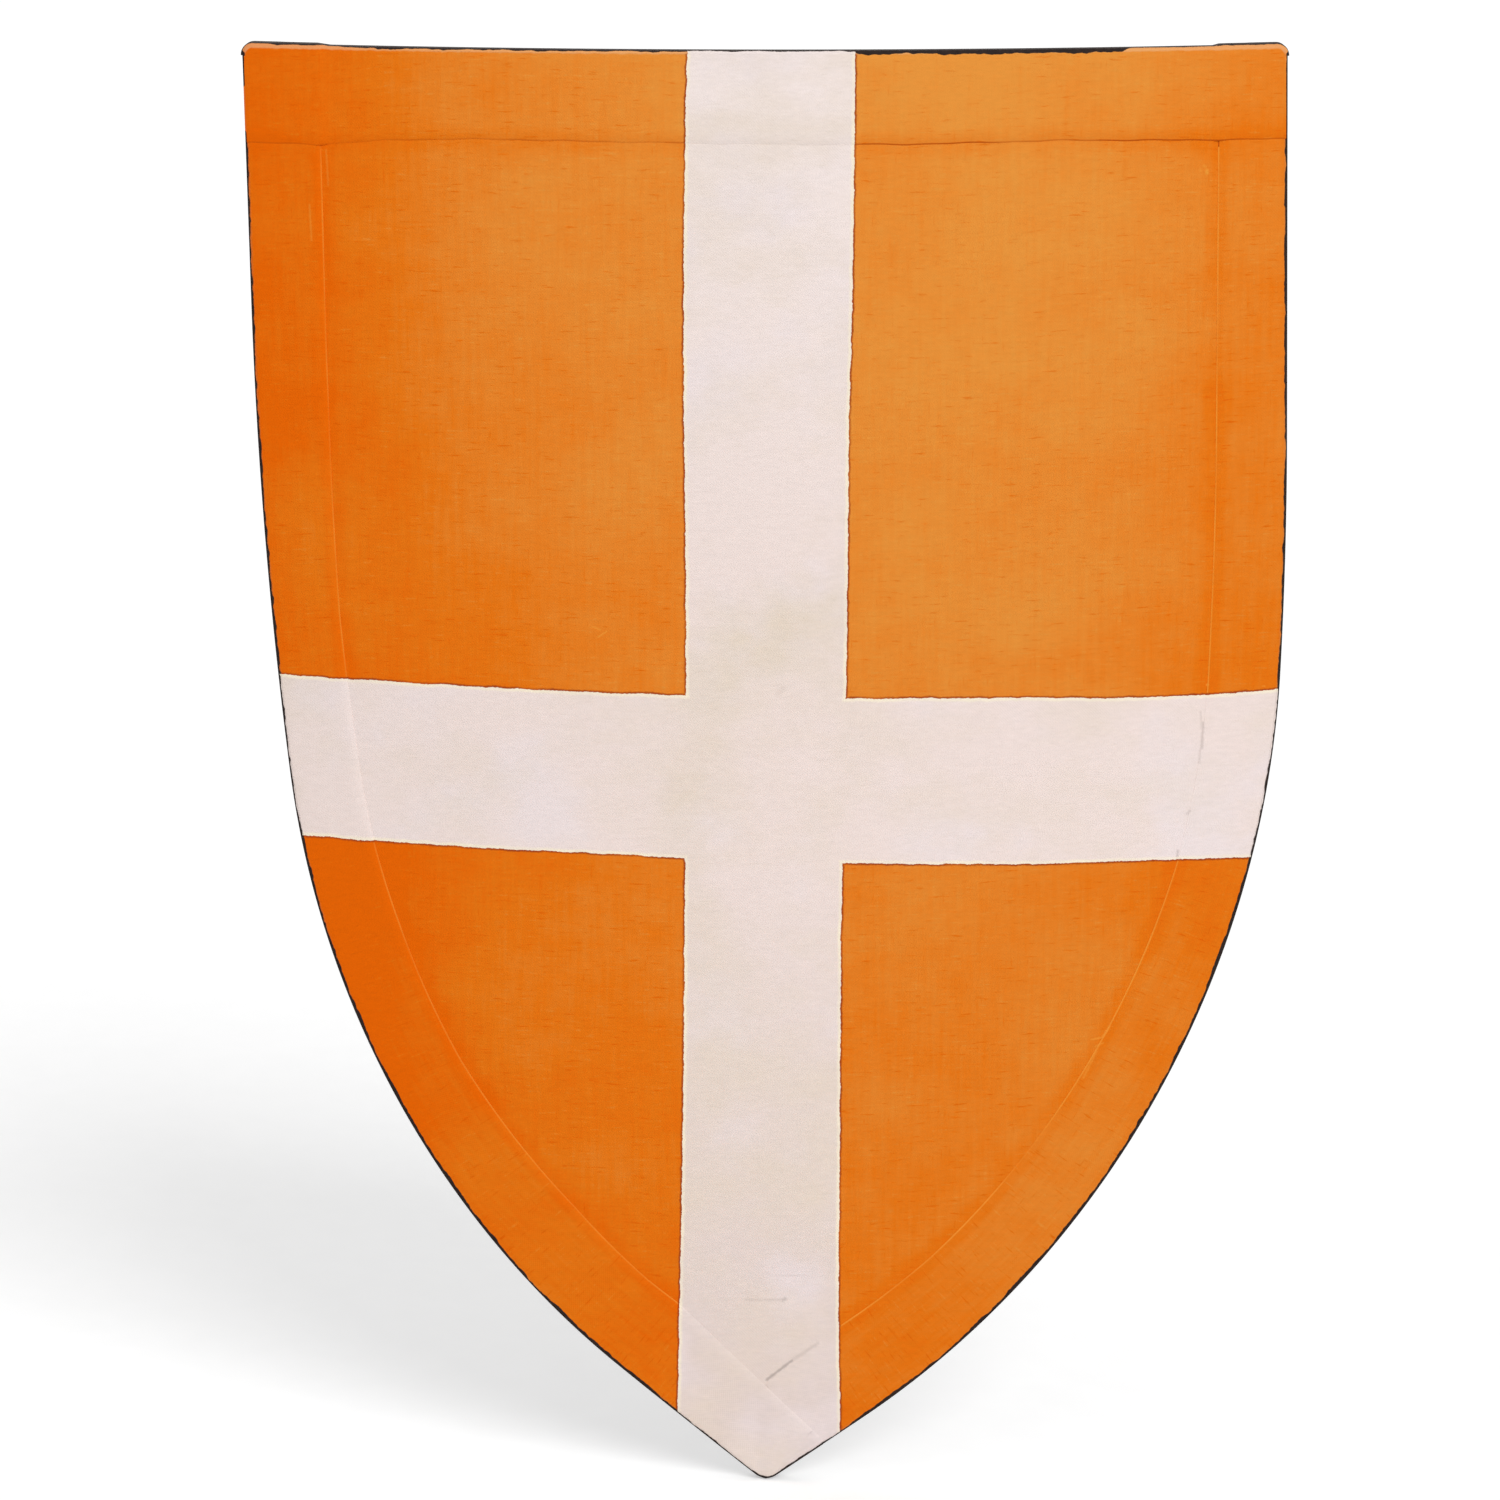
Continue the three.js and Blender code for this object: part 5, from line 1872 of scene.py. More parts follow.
    def top(self) -> Cloth:
        """Lays the top strip over the upper ends of the side strips.

        Returns:
            The cloth.
        """
        cloth = Cloth()
        corner = [s for s in LEFT_STATIONS if s.point.y > self.side_top]
        other = [s for s in RIGHT_STATIONS if s.point.y > self.side_top]
        start, end = corner[0].point.x, other[0].point.x
        count = math.ceil((end - start) / 0.0035)
        across = [start + (end - start) * k / count for k in range(1, count)]
        middle = [Station(Vector((x, BOARD.top)), Vector((0, 1))) for x in across]
        stations = [*reversed(corner), *middle, *other]
        runs = self.runs(stations)
        for offset in (0.0008, 0.0):
            cloth.rows.append(self.trimmed(stations[0], LEFT, offset, runs[0] - offset))
        for station, run in zip(stations, runs):
            outer = station.point - station.normal * 0.001
            lean = (RIGHT if outer.x > 0 else LEFT).lean
            seam = self.read(self.seam, outer.x) + 0.0003 * math.sin(outer.x * 190) * math.sin(outer.x * 71)
            shift = math.tan(lean) * (outer.y - seam) * abs(station.normal.x)
            inner = Vector((outer.x - shift * math.copysign(1, outer.x), seam))
            here = self.top_level(outer)
            reach = self.shoulder - here
            rear = BOARD.strip_rear + self.lap * smooth(0.2575, 0.2605, abs(outer.x))
            row = self.front(inner, outer, self.top_level, run) + self.wrap(station, here, run, reach)
            row += self.tail(station, reach, run, Vector((inner.x, BOARD.top - self.rear_leg)), rear)
            cloth.rows.append([Spot(s.place, s.rim, s.lip, s.weave[::-1]) for s in row])
        for offset in (0.0, 0.0008):
            cloth.rows.append(self.trimmed(stations[-1], RIGHT, offset, runs[-1] + offset))
        return cloth

    def trimmed(self, station: Station, side: Side, offset: float, run: float) -> list[Spot]:
        """Lays the top strip's last threads, which are trimmed flush where the side rounds over.

        Args:
            station: The outline's station at the corner.
            side: The side of the board.
            offset: How far past the outline the row lies.
            run: Distance along the strip.

        Returns:
            The row.
        """
        top = station.point + station.normal * offset
        seam = self.read(self.seam, top.x)
        low = Vector((top.x - side.sign * math.tan(side.lean) * (top.y - seam), seam))
        radius = self.shoulder - self.top_level(top)
        drop = radius - math.sqrt(radius**2 - (offset + 0.001) ** 2)
        row = self.front(low, top, lambda at: self.top_level(at) + drop, run)
        return [Spot(s.place, max(s.rim, offset), s.lip, s.weave[::-1]) for s in row]

    def build(self, palette: Palette) -> None:
        """Builds and dresses the three strips.

        Args:
            palette: The finishes.
        """
        cloths = {
            "edge_strip_left": self.side(LEFT_STATIONS, self.left_widths, True),
            "edge_strip_right": self.side(RIGHT_STATIONS, self.right_widths, False),
            "edge_strip_top": self.top(),
        }
        for node, cloth in cloths.items():
            piece = cloth.build(f"linen_{node}", self.thickness, -1)
            settle(piece, palette.linen, Body.BOARD, Slot.PAINTED_LINEN, node)


# Straps, wire and fasteners


@dataclass
class Line:
    """A smooth line in a seat's own Y (away from the board) and Z, as straights, arcs and eased corners."""

    points: list[Vector] = field(default_factory=list)

    def to(self, y: float, z: float, step: float = 0.003) -> "Line":
        """Runs straight to a point.

        Args:
            y: Away from the board.
            z: Up.
            step: Longest distance between points.

        Returns:
            The line.
        """
        end = Vector((y, z))
        if not self.points:
            self.points.append(end)
            return self
        start = self.points[-1]
        count = max(1, math.ceil((end - start).length / step))
        self.points.extend(start.lerp(end, k / count) for k in range(1, count + 1))
        return self

    def arc(self, centre: Pair, radius: float, start: float, end: float, step: float = 0.0012) -> "Line":
        """Runs along an arc, whose angles turn from Y towards Z.

        Args:
            centre: Its centre.
            radius: Its radius.
            start: First angle.
            end: Last angle.
            step: Longest distance between points.

        Returns:
            The line.
        """
        count = max(4, math.ceil(radius * abs(end - start) / step))
        for k in range(count + 1):
            angle = start + (end - start) * k / count
            point = Vector((centre[0] + radius * math.cos(angle), centre[1] + radius * math.sin(angle)))
            if not self.points or (point - self.points[-1]).length > 1e-6:
                self.points.append(point)
        return self

    def eased(self, rounds: int = 3) -> "Line":
        """Eases the corners a little, where leather can't kink.

        Args:
            rounds: How often each point moves towards its neighbours' middle.

        Returns:
            The line.
        """
        for _ in range(rounds):
            inner = [(a + 2 * b + c) / 4 for a, b, c in zip(self.points, self.points[1:], self.points[2:])]
            self.points = [self.points[0], *inner, self.points[-1]]
        return self

    def placed(self, seat: Matrix, x: float = 0.0) -> list[Vector]:
        """Returns the line's points in space, at one place across the seat."""
        return [seat @ Vector((x, p.x, p.y)) for p in self.points]


def fold(
    bar: Pair, radius: float, up: int, start_offset: float, end_offset: float, neck: float
) -> list[Vector]:
    """Lists points round a bar, from its rear side to its front side.

    Args:
        bar: The bar's middle.
        radius: The fold's radius at the leather's middle.
        up: 1 where the fold passes over the bar, -1 where it passes under it.
        start_offset: How far the rear run lies behind the bar's middle where the fold closes.
        end_offset: How far the front run lies in front of it there.
        neck: Distance from the bar to where the fold closes.

    Returns:
        The points in the seat's Y and Z.
    """
    def leave(offset: float) -> float:
        """Returns the angle at which a run leaves the fold."""
        return math.atan2(offset, neck) + math.acos(radius / math.hypot(offset, neck))

    start, end = leave(start_offset), 2 * math.pi - leave(end_offset)
    angles = [start + (end - start) * k / 24 for k in range(25)]
    return [Vector((bar[0] + radius * math.sin(a), bar[1] - up * radius * math.cos(a))) for a in angles]


@dataclass
class Ribbon:
    """A flat strap with rounded edges, swept along a line."""

    width: float
    thickness: float
    start_round: float = 0.0
    end_round: float = 0.0
    point_length: float = 0.0
    point_width: float = 0.0
    softness: float = 0.3

    def half_at(self, before: float, after: float) -> float:
        """Works out half the strap's width near its ends.

        Args:
            before: Distance from the start.
            after: Distance to the end.

        Returns:
            Half the width.
        """
        half = self.width / 2
        for distance, radius in ((before, self.start_round), (after, self.end_round)):
            if radius and distance < radius:
                half -= radius - math.sqrt(max(radius**2 - (radius - distance) ** 2, 0.0))
        if self.point_length and after < self.point_length:
            share = after / self.point_length
            half = self.point_width / 2 + (half - self.point_width / 2) * share**0.72
        return half

    def section(self, half: float, thickness: float) -> list[tuple[float, float, float]]:
        """Lists the section's corners.

        Args:
            half: Half the strap's width there.
            thickness: The strap's thickness there.

        Returns:
            For each corner: across, up from the middle, and distance from the cut edge.
        """
        tall = thickness / 2
        corner = min(self.softness * thickness, half * 0.9)
        found = []
        for sign in (1, -1):
            for share in (-1.0, -0.82, -0.5, 0.0, 0.5, 0.82, 1.0):
                across = share * (half - corner)
                crown = 0.05 * thickness * (1 - share * share)
                found.append((sign * across, sign * (tall - 0.05 * thickness + crown), half - abs(across)))
            for angle, way in ((60, 1), (30, 1), (0, 0), (-30, -1), (-60, -1)):
                a = math.radians(angle)
                across = half - corner + corner * math.cos(a)
                up = (tall - 0.05 * thickness - corner) * way + corner * math.sin(a)
                found.append((sign * across, sign * up, 0.0))
        return found

    def sweep(
        self, name: str, line: Sequence[Vector], side: Vector, sizes: Sequence[Pair] = ()
    ) -> Piece:
        """Sweeps the strap.

        Args:
            name: The piece's name.
            line: The middle line in space.
            side: The direction across the strap.
            sizes: Width and thickness at each point, where they aren't even.

        Returns:
            The closed piece.
        """
        runs = [0.0, *(float(d) for d in np.cumsum([(b - a).length for a, b in zip(line, line[1:])]))]
        points, edges = [], []
        for i, at in enumerate(line):
            tangent = (line[min(i + 1, len(line) - 1)] - line[max(i - 1, 0)]).normalized()
            up = tangent.cross(side).normalized()
            half = self.half_at(runs[i], runs[-1] - runs[i])
            wide, thick = sizes[i] if sizes else (self.width, self.thickness)
            for a, b, edge in self.section(half * wide / self.width, thick):
                points.append(at + side * a + up * b)
                edges.append(min(edge, runs[i], runs[-1] - runs[i]))
        count = len(points) // len(line)
        faces = ring_faces(count, len(line))
        faces.append(tuple(range(count)))
        faces.append(tuple(reversed(range((len(line) - 1) * count, len(line) * count))))
        piece = mesh_object(name, points, faces)
        store(piece, "edge", edges)
        turn_outwards(piece)
        shade(piece, 45)
        return piece


def turn_outwards(piece: Piece) -> None:
    """Makes the faces of a closed piece point outwards.

    Args:
        piece: The piece.
    """
    work = bmesh.new()
    work.from_mesh(piece.data)
    bmesh.ops.recalc_face_normals(work, faces=work.faces)
    if work.calc_volume(signed=True) < 0:
        bmesh.ops.reverse_faces(work, faces=work.faces)
    work.to_mesh(piece.data)
    work.free()


def cut_with(piece: Piece, tools: Sequence[Piece]) -> None:
    """Cuts holes in a piece and removes the cutting shapes.

    Args:
        piece: The piece.
        tools: Closed shapes to take away.
    """
    for i, tool in enumerate(tools):
        cut = piece.modifiers.new(f"hole_{i}", "BOOLEAN")
        cut.operation = "DIFFERENCE"
        cut.solver = "EXACT"
        cut.object = tool
    apply_modifiers(piece)
    for tool in tools:
        bpy.data.objects.remove(tool, do_unlink=True)


def lathe(name: str, profile: Sequence[Pair], steps: int, dents: float = 0.0, seed: int = 1) -> Piece:
    """Turns a profile about Z, from the axis out and back to the axis.

    Args:
        name: The piece's name.
        profile: Radius and height pairs; the first and last lie on the axis.
        steps: Steps round the axis.
        dents: How far a hammer has moved its outer points.
        seed: Seed for the dents.

    Returns:
        The closed piece.
    """
    random = np.random.default_rng(seed)
    points = [Vector((0, 0, profile[0][1])), Vector((0, 0, profile[-1][1]))]
    faces = []
    inner = profile[1:-1]
    for i in range(steps):
        angle = 2 * math.pi * i / steps
        for radius, height in inner:
            grown = radius + float(random.uniform(-dents, dents))
            raised = height + float(random.uniform(-dents, dents))
            points.append(Vector((grown * math.cos(angle), grown * math.sin(angle), raised)))
    count = len(inner)
    for i in range(steps):
        a, b = 2 + i * count, 2 + ((i + 1) % steps) * count
        faces.append((0, b, a))
        faces.append((1, a + count - 1, b + count - 1))
        faces.extend((a + j, b + j, b + j + 1, a + j + 1) for j in range(count - 1))
    piece = mesh_object(name, points, faces)
    turn_outwards(piece)
    shade(piece, 45)
    return piece


class Workshop:
    """The geometry trees, built once, and the jobs that they do."""

    def __init__(self, palette: Palette) -> None:
        """Builds the trees.

        Args:
            palette: The finishes.
        """
        self.palette = palette
        self.stitches = stitch_tree()
        self.fasteners = scatter_tree()
        self.wires = wire_tree()

    def sew(self, name: str, lines: Sequence[Sequence[Vector]], body: Body, spacing: float = 0.0052) -> None:
        """Sews rows of stitches.

        Args:
            name: The piece's name.
            lines: Where the rows run.
            body: The body that they move with.
            spacing: Distance from stitch to stitch.
        """
        piece = lines_object(name, lines)
        thread = self.palette.thread
        values = {"Spacing": spacing, "Length": spacing * 0.76, "Thickness": 0.0010, "Thread": thread}
        self.stitches.run(piece, values)
        settle(piece, thread, body, Slot.BACK_LINEN)

    def fasten(
        self,
        name: str,
        fastener: Piece,
        places: Sequence[Matrix],
        metal: Material,
        body: Body,
        slot: Slot,
        nodes: Sequence[str],
        seed: int,
    ) -> None:
        """Sets copies of a fastener and removes the one that they were made from.

        Args:
            name: The piece's name.
            fastener: The shape, standing on its Z.
            places: One frame for each; its Y faces the bearer.
            metal: The finish.
            body: The body that they move with.
            slot: The record's material slot.
            nodes: The solids that they stand for.
            seed: Seed for their small differences.
        """
        piece = mesh_object(name, [p.translation for p in places], [])
        facing = piece.data.attributes.new("facing", "FLOAT_VECTOR", "POINT")
        facing.data.foreach_set("vector", [c for p in places for c in (p.to_3x3() @ Vector((0, 1, 0)))])
        self.fasteners.run(piece, {"Fastener": fastener, "Unevenness": 0.04, "Seed": seed, "Metal": metal})
        bpy.data.objects.remove(fastener, do_unlink=True)
        settle(piece, metal, body, slot, *nodes)

    def bend(self, name: str, line: Sequence[Vector], radius: float, body: Body, node: str) -> None:
        """Bends a closed wire.

        Args:
            name: The piece's name.
            line: Its middle line.
            radius: The wire's radius.
            body: The body that it moves with.
            node: The solid that it stands for.
        """
        piece = lines_object(name, [line], closed=True)
        self.wires.run(piece, {"Radius": radius, "Metal": self.palette.iron})
        settle(piece, self.palette.iron, body, Slot.IRON, node)

    def rivets(self, label: str, seat: Matrix, spots: Sequence[Pair], top: float, seed: int) -> None:
        """Sets copper rivets with their washers.

        Args:
            label: The solids' common name.
            seat: The seat's frame.
            spots: Places across and up the seat.
            top: Height of the leather's face over the seat.
            seed: Seed for the hammer marks.
        """
        fastener = lathe(
            f"{label}_rivet_shape",
            [
                (0, -0.002), (0.0021, -0.002), (0.0021, 0.00005), (0.0052, 0.00005), (0.0059, 0.0002),
                (0.0060, 0.0006), (0.0057, 0.0010), (0.0047, 0.0013), (0.0036, 0.0014), (0.0034, 0.0018),
                (0.0030, 0.0023), (0.0020, 0.00262), (0.0009, 0.00272), (0, 0.00274),
            ],
            26, 0.00007, seed,
        )
        places = [seat @ Matrix.Translation((x, top, z)) for x, z in spots]
        nodes = [f"{label}_{kind}_{k}" for kind in ("rivet", "rove") for k in range(1, len(spots) + 1)]
        copper = self.palette.copper
        self.fasten(f"{label}_rivets", fastener, places, copper, Body.BOARD, Slot.COPPER, nodes, seed)


@dataclass
class ArchedStrap:
    """A riveted strap that arches off the board."""

    label: str
    place: float
    width: float
    height: float
    top_radius: float
    bend_radius: float
    foot: float
    rise: float
    thickness: float = 0.0035
    stitch_inset: float = 0.0045

    def half(self) -> tuple[float, float, float]:
        """Works out the arch.

        Returns:
            Height of the foot's middle, height of the crown's middle, and where the foot starts.
        """
        rise = math.radians(self.rise)
        base = BOARD.seat_rise(self.width) + self.thickness / 2
        crown = self.height + self.thickness / 2
        both = self.bend_radius + self.top_radius
        flank = (crown - base - both * (1 - math.cos(rise))) / math.sin(rise)
        return base, crown, both * math.sin(rise) + flank * math.cos(rise)

    def line(self) -> Line:
        """Draws the middle line from the upper foot to the lower one.

        Returns:
            The line.
        """
        rise = math.radians(self.rise)
        base, crown, start = self.half()
        line = Line().to(base, start + self.foot)
        line.to(base, start)
        line.arc((base + self.bend_radius, start), self.bend_radius, math.pi, math.pi + rise)
        line.to(crown - self.top_radius * (1 - math.cos(rise)), self.top_radius * math.sin(rise))
        line.arc((crown - self.top_radius, 0), self.top_radius, rise, -rise, 0.003)
        line.to(base + self.bend_radius * (1 - math.cos(rise)), -start + self.bend_radius * math.sin(rise))
        line.arc((base + self.bend_radius, -start), self.bend_radius, math.pi - rise, math.pi)
        line.to(base, -start - self.foot)
        return line

    def build(self, workshop: Workshop, spots: Sequence[Pair], seed: int) -> None:
        """Builds the strap, its stitches and its rivets.

        Args:
            workshop: The trees and finishes.
            spots: Where the rivets sit, across and up the seat.
            seed: Seed for the hammer marks.
        """
        seat = BOARD.seat(self.place)
        line = self.line()
        ribbon = Ribbon(self.width, self.thickness, 0.007, 0.007)
        strap = ribbon.sweep(f"{self.label}_strap_hide", line.placed(seat), sideways(seat))
        settle(strap, workshop.palette.strap, Body.BOARD, Slot.STRAP_LEATHER, f"{self.label}_strap")
        self.stitch(workshop, seat, line)
        top = BOARD.seat_rise(self.width) + self.thickness
        workshop.rivets(self.label, seat, spots, top, seed)

    def stitch(self, workshop: Workshop, seat: Matrix, line: Line) -> None:
        """Sews a row along each edge on the side that faces the bearer.

        Args:
            workshop: The trees and finishes.
            seat: The seat's frame.
            line: The strap's middle line.
        """
        rows = []
        lift = self.thickness / 2 + 0.00005
        for across in (-self.width / 2 + self.stitch_inset, self.width / 2 - self.stitch_inset):
            row = []
            for a, b, c in zip(line.points, line.points[1:], line.points[2:]):
                along = (c - a).normalized()
                row.append(seat @ Vector((across, b.x - along.y * lift, b.y + along.x * lift)))
            rows.append(row[3:-3])
        workshop.sew(f"{self.label}_strap_stitches", rows, Body.BOARD)


@dataclass
class HandStrap(ArchedStrap):
    """The hand strap, whose middle is bound with a leather thong."""

    wrap_reach: float = 44.0
    wrap_wall: float = 0.0014
    wrap_gap: float = 0.0003
    turn_width: float = 0.0064
    ridge_rise: float = 0.0007
    ridge_base: float = 0.0005
    end_rounding: float = 0.0012
    end_drop: float = 0.0009

    def bind(self, workshop: Workshop) -> None:
        """Builds the binding.

        Args:
            workshop: The trees and finishes.
        """
        seat = BOARD.seat(self.place)
        _, crown, _ = self.half()
        centre = crown - self.top_radius
        reach = math.radians(self.wrap_reach)
        length = 2 * reach * self.top_radius
        rows = math.ceil(length / 0.0007)
        room = self.wrap_gap + self.wrap_wall
        half, tall = self.width / 2 + room, self.thickness / 2 + room
        corner = tall * 0.8
        ring: list[tuple[float, float, float, float]] = []
        for quarter, (sx, sy) in enumerate(((1, 1), (-1, 1), (-1, -1), (1, -1))):
            for k in range(5):
                a = math.radians(90 * quarter + 22.5 * k)
                ring.append((sx * (half - corner), sy * (tall - corner), math.cos(a), math.sin(a)))
            flat = 8 if quarter % 2 == 0 else 1
            last = ring[-1]
            following = (sx * -1 if quarter % 2 == 0 else sx, sy if quarter % 2 == 0 else -sy)
            goal = (following[0] * (half - corner), following[1] * (tall - corner))
            for k in range(1, flat):
                share = k / flat
                x, y = (last[i] + (goal[i] - last[i]) * share for i in range(2))
                ring.append((x, y, last[2], last[3]))
        count = len(ring)
        points, edges = [], []
        for i in range(rows + 1):
            angle = reach - 2 * reach * i / rows
            run = length * i / rows
            end = min(1.0, min(run, length - run) / self.end_rounding)
            drop = self.end_drop * (1 - math.sqrt(end * (2 - end)))
            for j, (cx, cy, nx, ny) in enumerate(ring):
                phase = run / self.turn_width + j / count
                ridge = abs(math.sin(math.pi * phase)) ** 0.55
                lift = corner + (self.ridge_rise * ridge - self.ridge_base) - drop
                across, up = cx + nx * lift, cy + ny * lift
                radius = self.top_radius + up
                place = Vector((across, centre + radius * math.cos(angle), radius * math.sin(angle)))
                points.append(seat @ place)
                edges.append(0.004 * ridge * ridge)
        faces = ring_faces(count, rows + 1)
        faces += [tuple(range(count)), tuple(range(rows * count, (rows + 1) * count))]
        piece = mesh_object("grip_binding", points, faces)
        store(piece, "edge", edges)
        turn_outwards(piece)
        shade(piece, 60)
        settle(piece, workshop.palette.pad, Body.BOARD, Slot.SOFT_LEATHER, "grip_wrap")


@dataclass
class ArmPad:
    """The stuffed leather pad for the forearm, with a tacked flange."""

    centre: float = 0.0025
    half_length: float = 0.128
    half_height: float = 0.057
    flange: float = 0.014
    rise: float = 0.018
    edge_rise: float = 0.012
    skin_top: float = 0.0018
    skin_bottom: float = 0.0004
    tack_inset: float = 0.007
    tack_seat: float = 0.0021
    swell_cap: float = 0.004
    pressure: float = 4.0
    bow: float = 0.0025
    swell_room: float = 0.002
    tack_reach: float = 0.006
    tack_pull: float = 0.0014
    seam_out: float = 0.0022

    def tacks(self) -> list[Pair]:
        """Lists where the tacks sit.

        Returns:
            Across and up from the pad's middle, for each tack.
        """
        x, z = self.half_length - self.tack_inset, self.half_height - self.tack_inset
        shares = (
            (-1, 1), (-1 / 3, 1), (1 / 3, 1), (1, 1), (1, 0),
            (1, -1), (1 / 3, -1), (-1 / 3, -1), (-1, -1), (-1, 0),
        )
        return [(a * x, b * z) for a, b in shares]

    def inside(self, x: float, z: float) -> float:
        """Works out how far a place lies inside the stuffed part's outline.

        Args:
            x: Across, from the pad's middle.
            z: Up, from the pad's middle.

        Returns:
            The distance, which is negative on the flange.
        """
        a, b = self.half_length - self.flange, self.half_height - self.flange
        bow = self.bow
        a, b = a - bow * (1 - abs(z) / b if abs(z) < b else 0), b - bow * (1 - min(abs(x) / a, 1))
        level = ((abs(x) / a) ** 5 + (abs(z) / b) ** 5) ** 0.2
        return (1 - level) * b

    def height(self, x: float, z: float) -> float:
        """Works out the cover's height over the lining before it is stuffed full.

        Args:
            x: Across, from the pad's middle.
            z: Up, from the pad's middle.

        Returns:
            The height.
        """
        deep = self.inside(x, z)
        height = self.skin_top
        if deep > 0:
            share = min(deep / self.edge_rise, 1.0)
            flat = self.half_height - self.flange - self.edge_rise
            crown = min(max(deep - self.edge_rise, 0) / flat, 1.0)
            height += (self.edge_rise - self.skin_top) * math.sqrt(1 - (1 - share) ** 2)
            height += (self.rise - self.edge_rise - self.swell_room) * (1 - (1 - crown) ** 2)
        spread = 2 * self.tack_reach**2
        near = max(math.exp(-((x - tx) ** 2 + (z - tz) ** 2) / spread) for tx, tz in self.tacks())
        if deep > 0:
            return height - self.tack_pull * near
        return height + (0.0004 - 0.0003 * near) * min(-deep / 0.003, 1.0)

    def lay(self, x: float, rise: float, z: float) -> Vector:
        """Lays a point of the flat pad on the bent lining.

        Args:
            x: Across, from the pad's middle.
            rise: Height over the lining.
            z: Up.

        Returns:
            The point in space.
        """
        radius = BOARD.rear_radius()
        angle = (self.centre + x) / radius
        inner = radius - rise
        return Vector((inner * math.sin(angle), BOARD.axis_y - inner * math.cos(angle), z))

    def cover(self) -> Piece:
        """Cuts the flat cover as a closed skin and stuffs it.

        Returns:
            The piece, still flat: X across, Y up from the lining, Z up.
        """
        step = 0.003
        nx, nz = round(2 * self.half_length / step), round(2 * self.half_height / step)
        xs = [self.half_length * (2 * i / nx - 1) for i in range(nx + 1)]
        zs = [self.half_height * (2 * k / nz - 1) for k in range(nz + 1)]
        wide = nz + 1
        points = [(x, self.height(x, z), z) for x in xs for z in zs]
        points += [(x, self.skin_bottom, z) for x in xs for z in zs]
        base = len(xs) * wide
        faces = []
        for i in range(nx):
            for k in range(nz):
                a = i * wide + k
                faces.append((a, a + 1, a + wide + 1, a + wide))
                faces.append((base + a, base + a + wide, base + a + wide + 1, base + a + 1))
        rim = [i * wide for i in range(nx)] + [nx * wide + k for k in range(nz)]
        rim += [(nx - i) * wide + nz for i in range(nx)] + [nz - k for k in range(nz)]
        faces += [(a, b, base + b, base + a) for a, b in zip(rim, rim[1:] + rim[:1])]
        piece = mesh_object("arm_pad_cover", points, faces)
        turn_outwards(piece)
        self.stuff(piece)
        smooth_over = piece.modifiers.new("finer", "SUBSURF")
        smooth_over.levels = smooth_over.render_levels = 1
        apply_modifiers(piece)
        return piece

    def stuff(self, piece: Piece) -> None:
        """Swells the cover by a short cloth simulation, held at its flange.

        Args:
            piece: The flat cover.
        """
        before = [v.co.copy() for v in piece.data.vertices]
        held = piece.vertex_groups.new(name="held")
        tacked = [v for v in piece.data.vertices if self.inside(v.co.x, v.co.z) < 0.0015 or v.co.y < 0.001]
        held.add([v.index for v in tacked], 1.0, "ADD")
        cloth = piece.modifiers.new("stuffing", "CLOTH")
        cloth.settings.quality = 6
        cloth.settings.use_pressure = True
        cloth.settings.uniform_pressure_force = self.pressure
        cloth.settings.tension_stiffness = cloth.settings.compression_stiffness = 12
        cloth.settings.bending_stiffness = 0.4
        cloth.settings.shrink_min = -0.03
        cloth.settings.vertex_group_mass = "held"
        cloth.settings.effector_weights.gravity = 0
        cloth.point_cache.frame_start, cloth.point_cache.frame_end = 1, 20
        for number in range(1, 21):
            bpy.context.scene.frame_set(number)
        apply_modifiers(piece)
        bpy.context.scene.frame_set(1)
        for vertex, start in zip(piece.data.vertices, before):
            move = vertex.co - start
            if move.length > self.swell_cap:
                vertex.co = start + move * (self.swell_cap / move.length)

    def build(self, workshop: Workshop) -> None:
        """Builds the pad, its seam and its tacks.

        Args:
            workshop: The trees and finishes.
        """
        piece = self.cover()
        edges = []
        for vertex in piece.data.vertices:
            x, y, z = vertex.co
            edges.append(max(min(self.half_length - abs(x), self.half_height - abs(z)), 0.0))
            vertex.co = self.lay(x, max(y, self.skin_bottom), z)
        store(piece, "edge", edges)
        piece.data.update()
        turn_outwards(piece)
        shade(piece, 60)
        settle(piece, workshop.palette.pad, Body.BOARD, Slot.SOFT_LEATHER, "pad_cover", "pad_filling")
        self.seam(workshop)
        head = lathe(
            "pad_tack_shape",
            [
                (0, -0.003), (0.0009, -0.003), (0.0009, 0.0), (0.0043, 0.0), (0.0045, 0.0003),
                (0.0042, 0.0008), (0.0034, 0.0014), (0.0022, 0.0019), (0.0010, 0.00215), (0, 0.0022),
            ],
            24, 0.00005, 5,
        )
        tacks, depth = self.tacks(), self.tack_seat
        places = [BOARD.seat(self.centre + x) @ Matrix.Translation((0, depth, z)) for x, z in tacks]
        nodes = [f"pad_tack_{k}" for k in range(1, len(tacks) + 1)]
        workshop.fasten("pad_tacks", head, places, workshop.palette.brass, Body.BOARD, Slot.BRASS, nodes, 11)

    def seam(self, workshop: Workshop) -> None:
        """Sews the seam between the stuffed part and the flange.

        Args:
            workshop: The trees and finishes.
        """
        out = self.seam_out - self.flange
        a, b = self.half_length + out, self.half_height + out
        row = []
        for k in range(241):
            angle = 2 * math.pi * k / 240
            c, s = math.cos(angle), math.sin(angle)
            x = math.copysign(abs(c) ** 0.4, c) * a
            z = math.copysign(abs(s) ** 0.4, s) * b
            row.append(self.lay(x, self.height(x, z) + 0.0002, z))
        workshop.sew("arm_pad_stitches", [row], Body.BOARD, 0.0048)


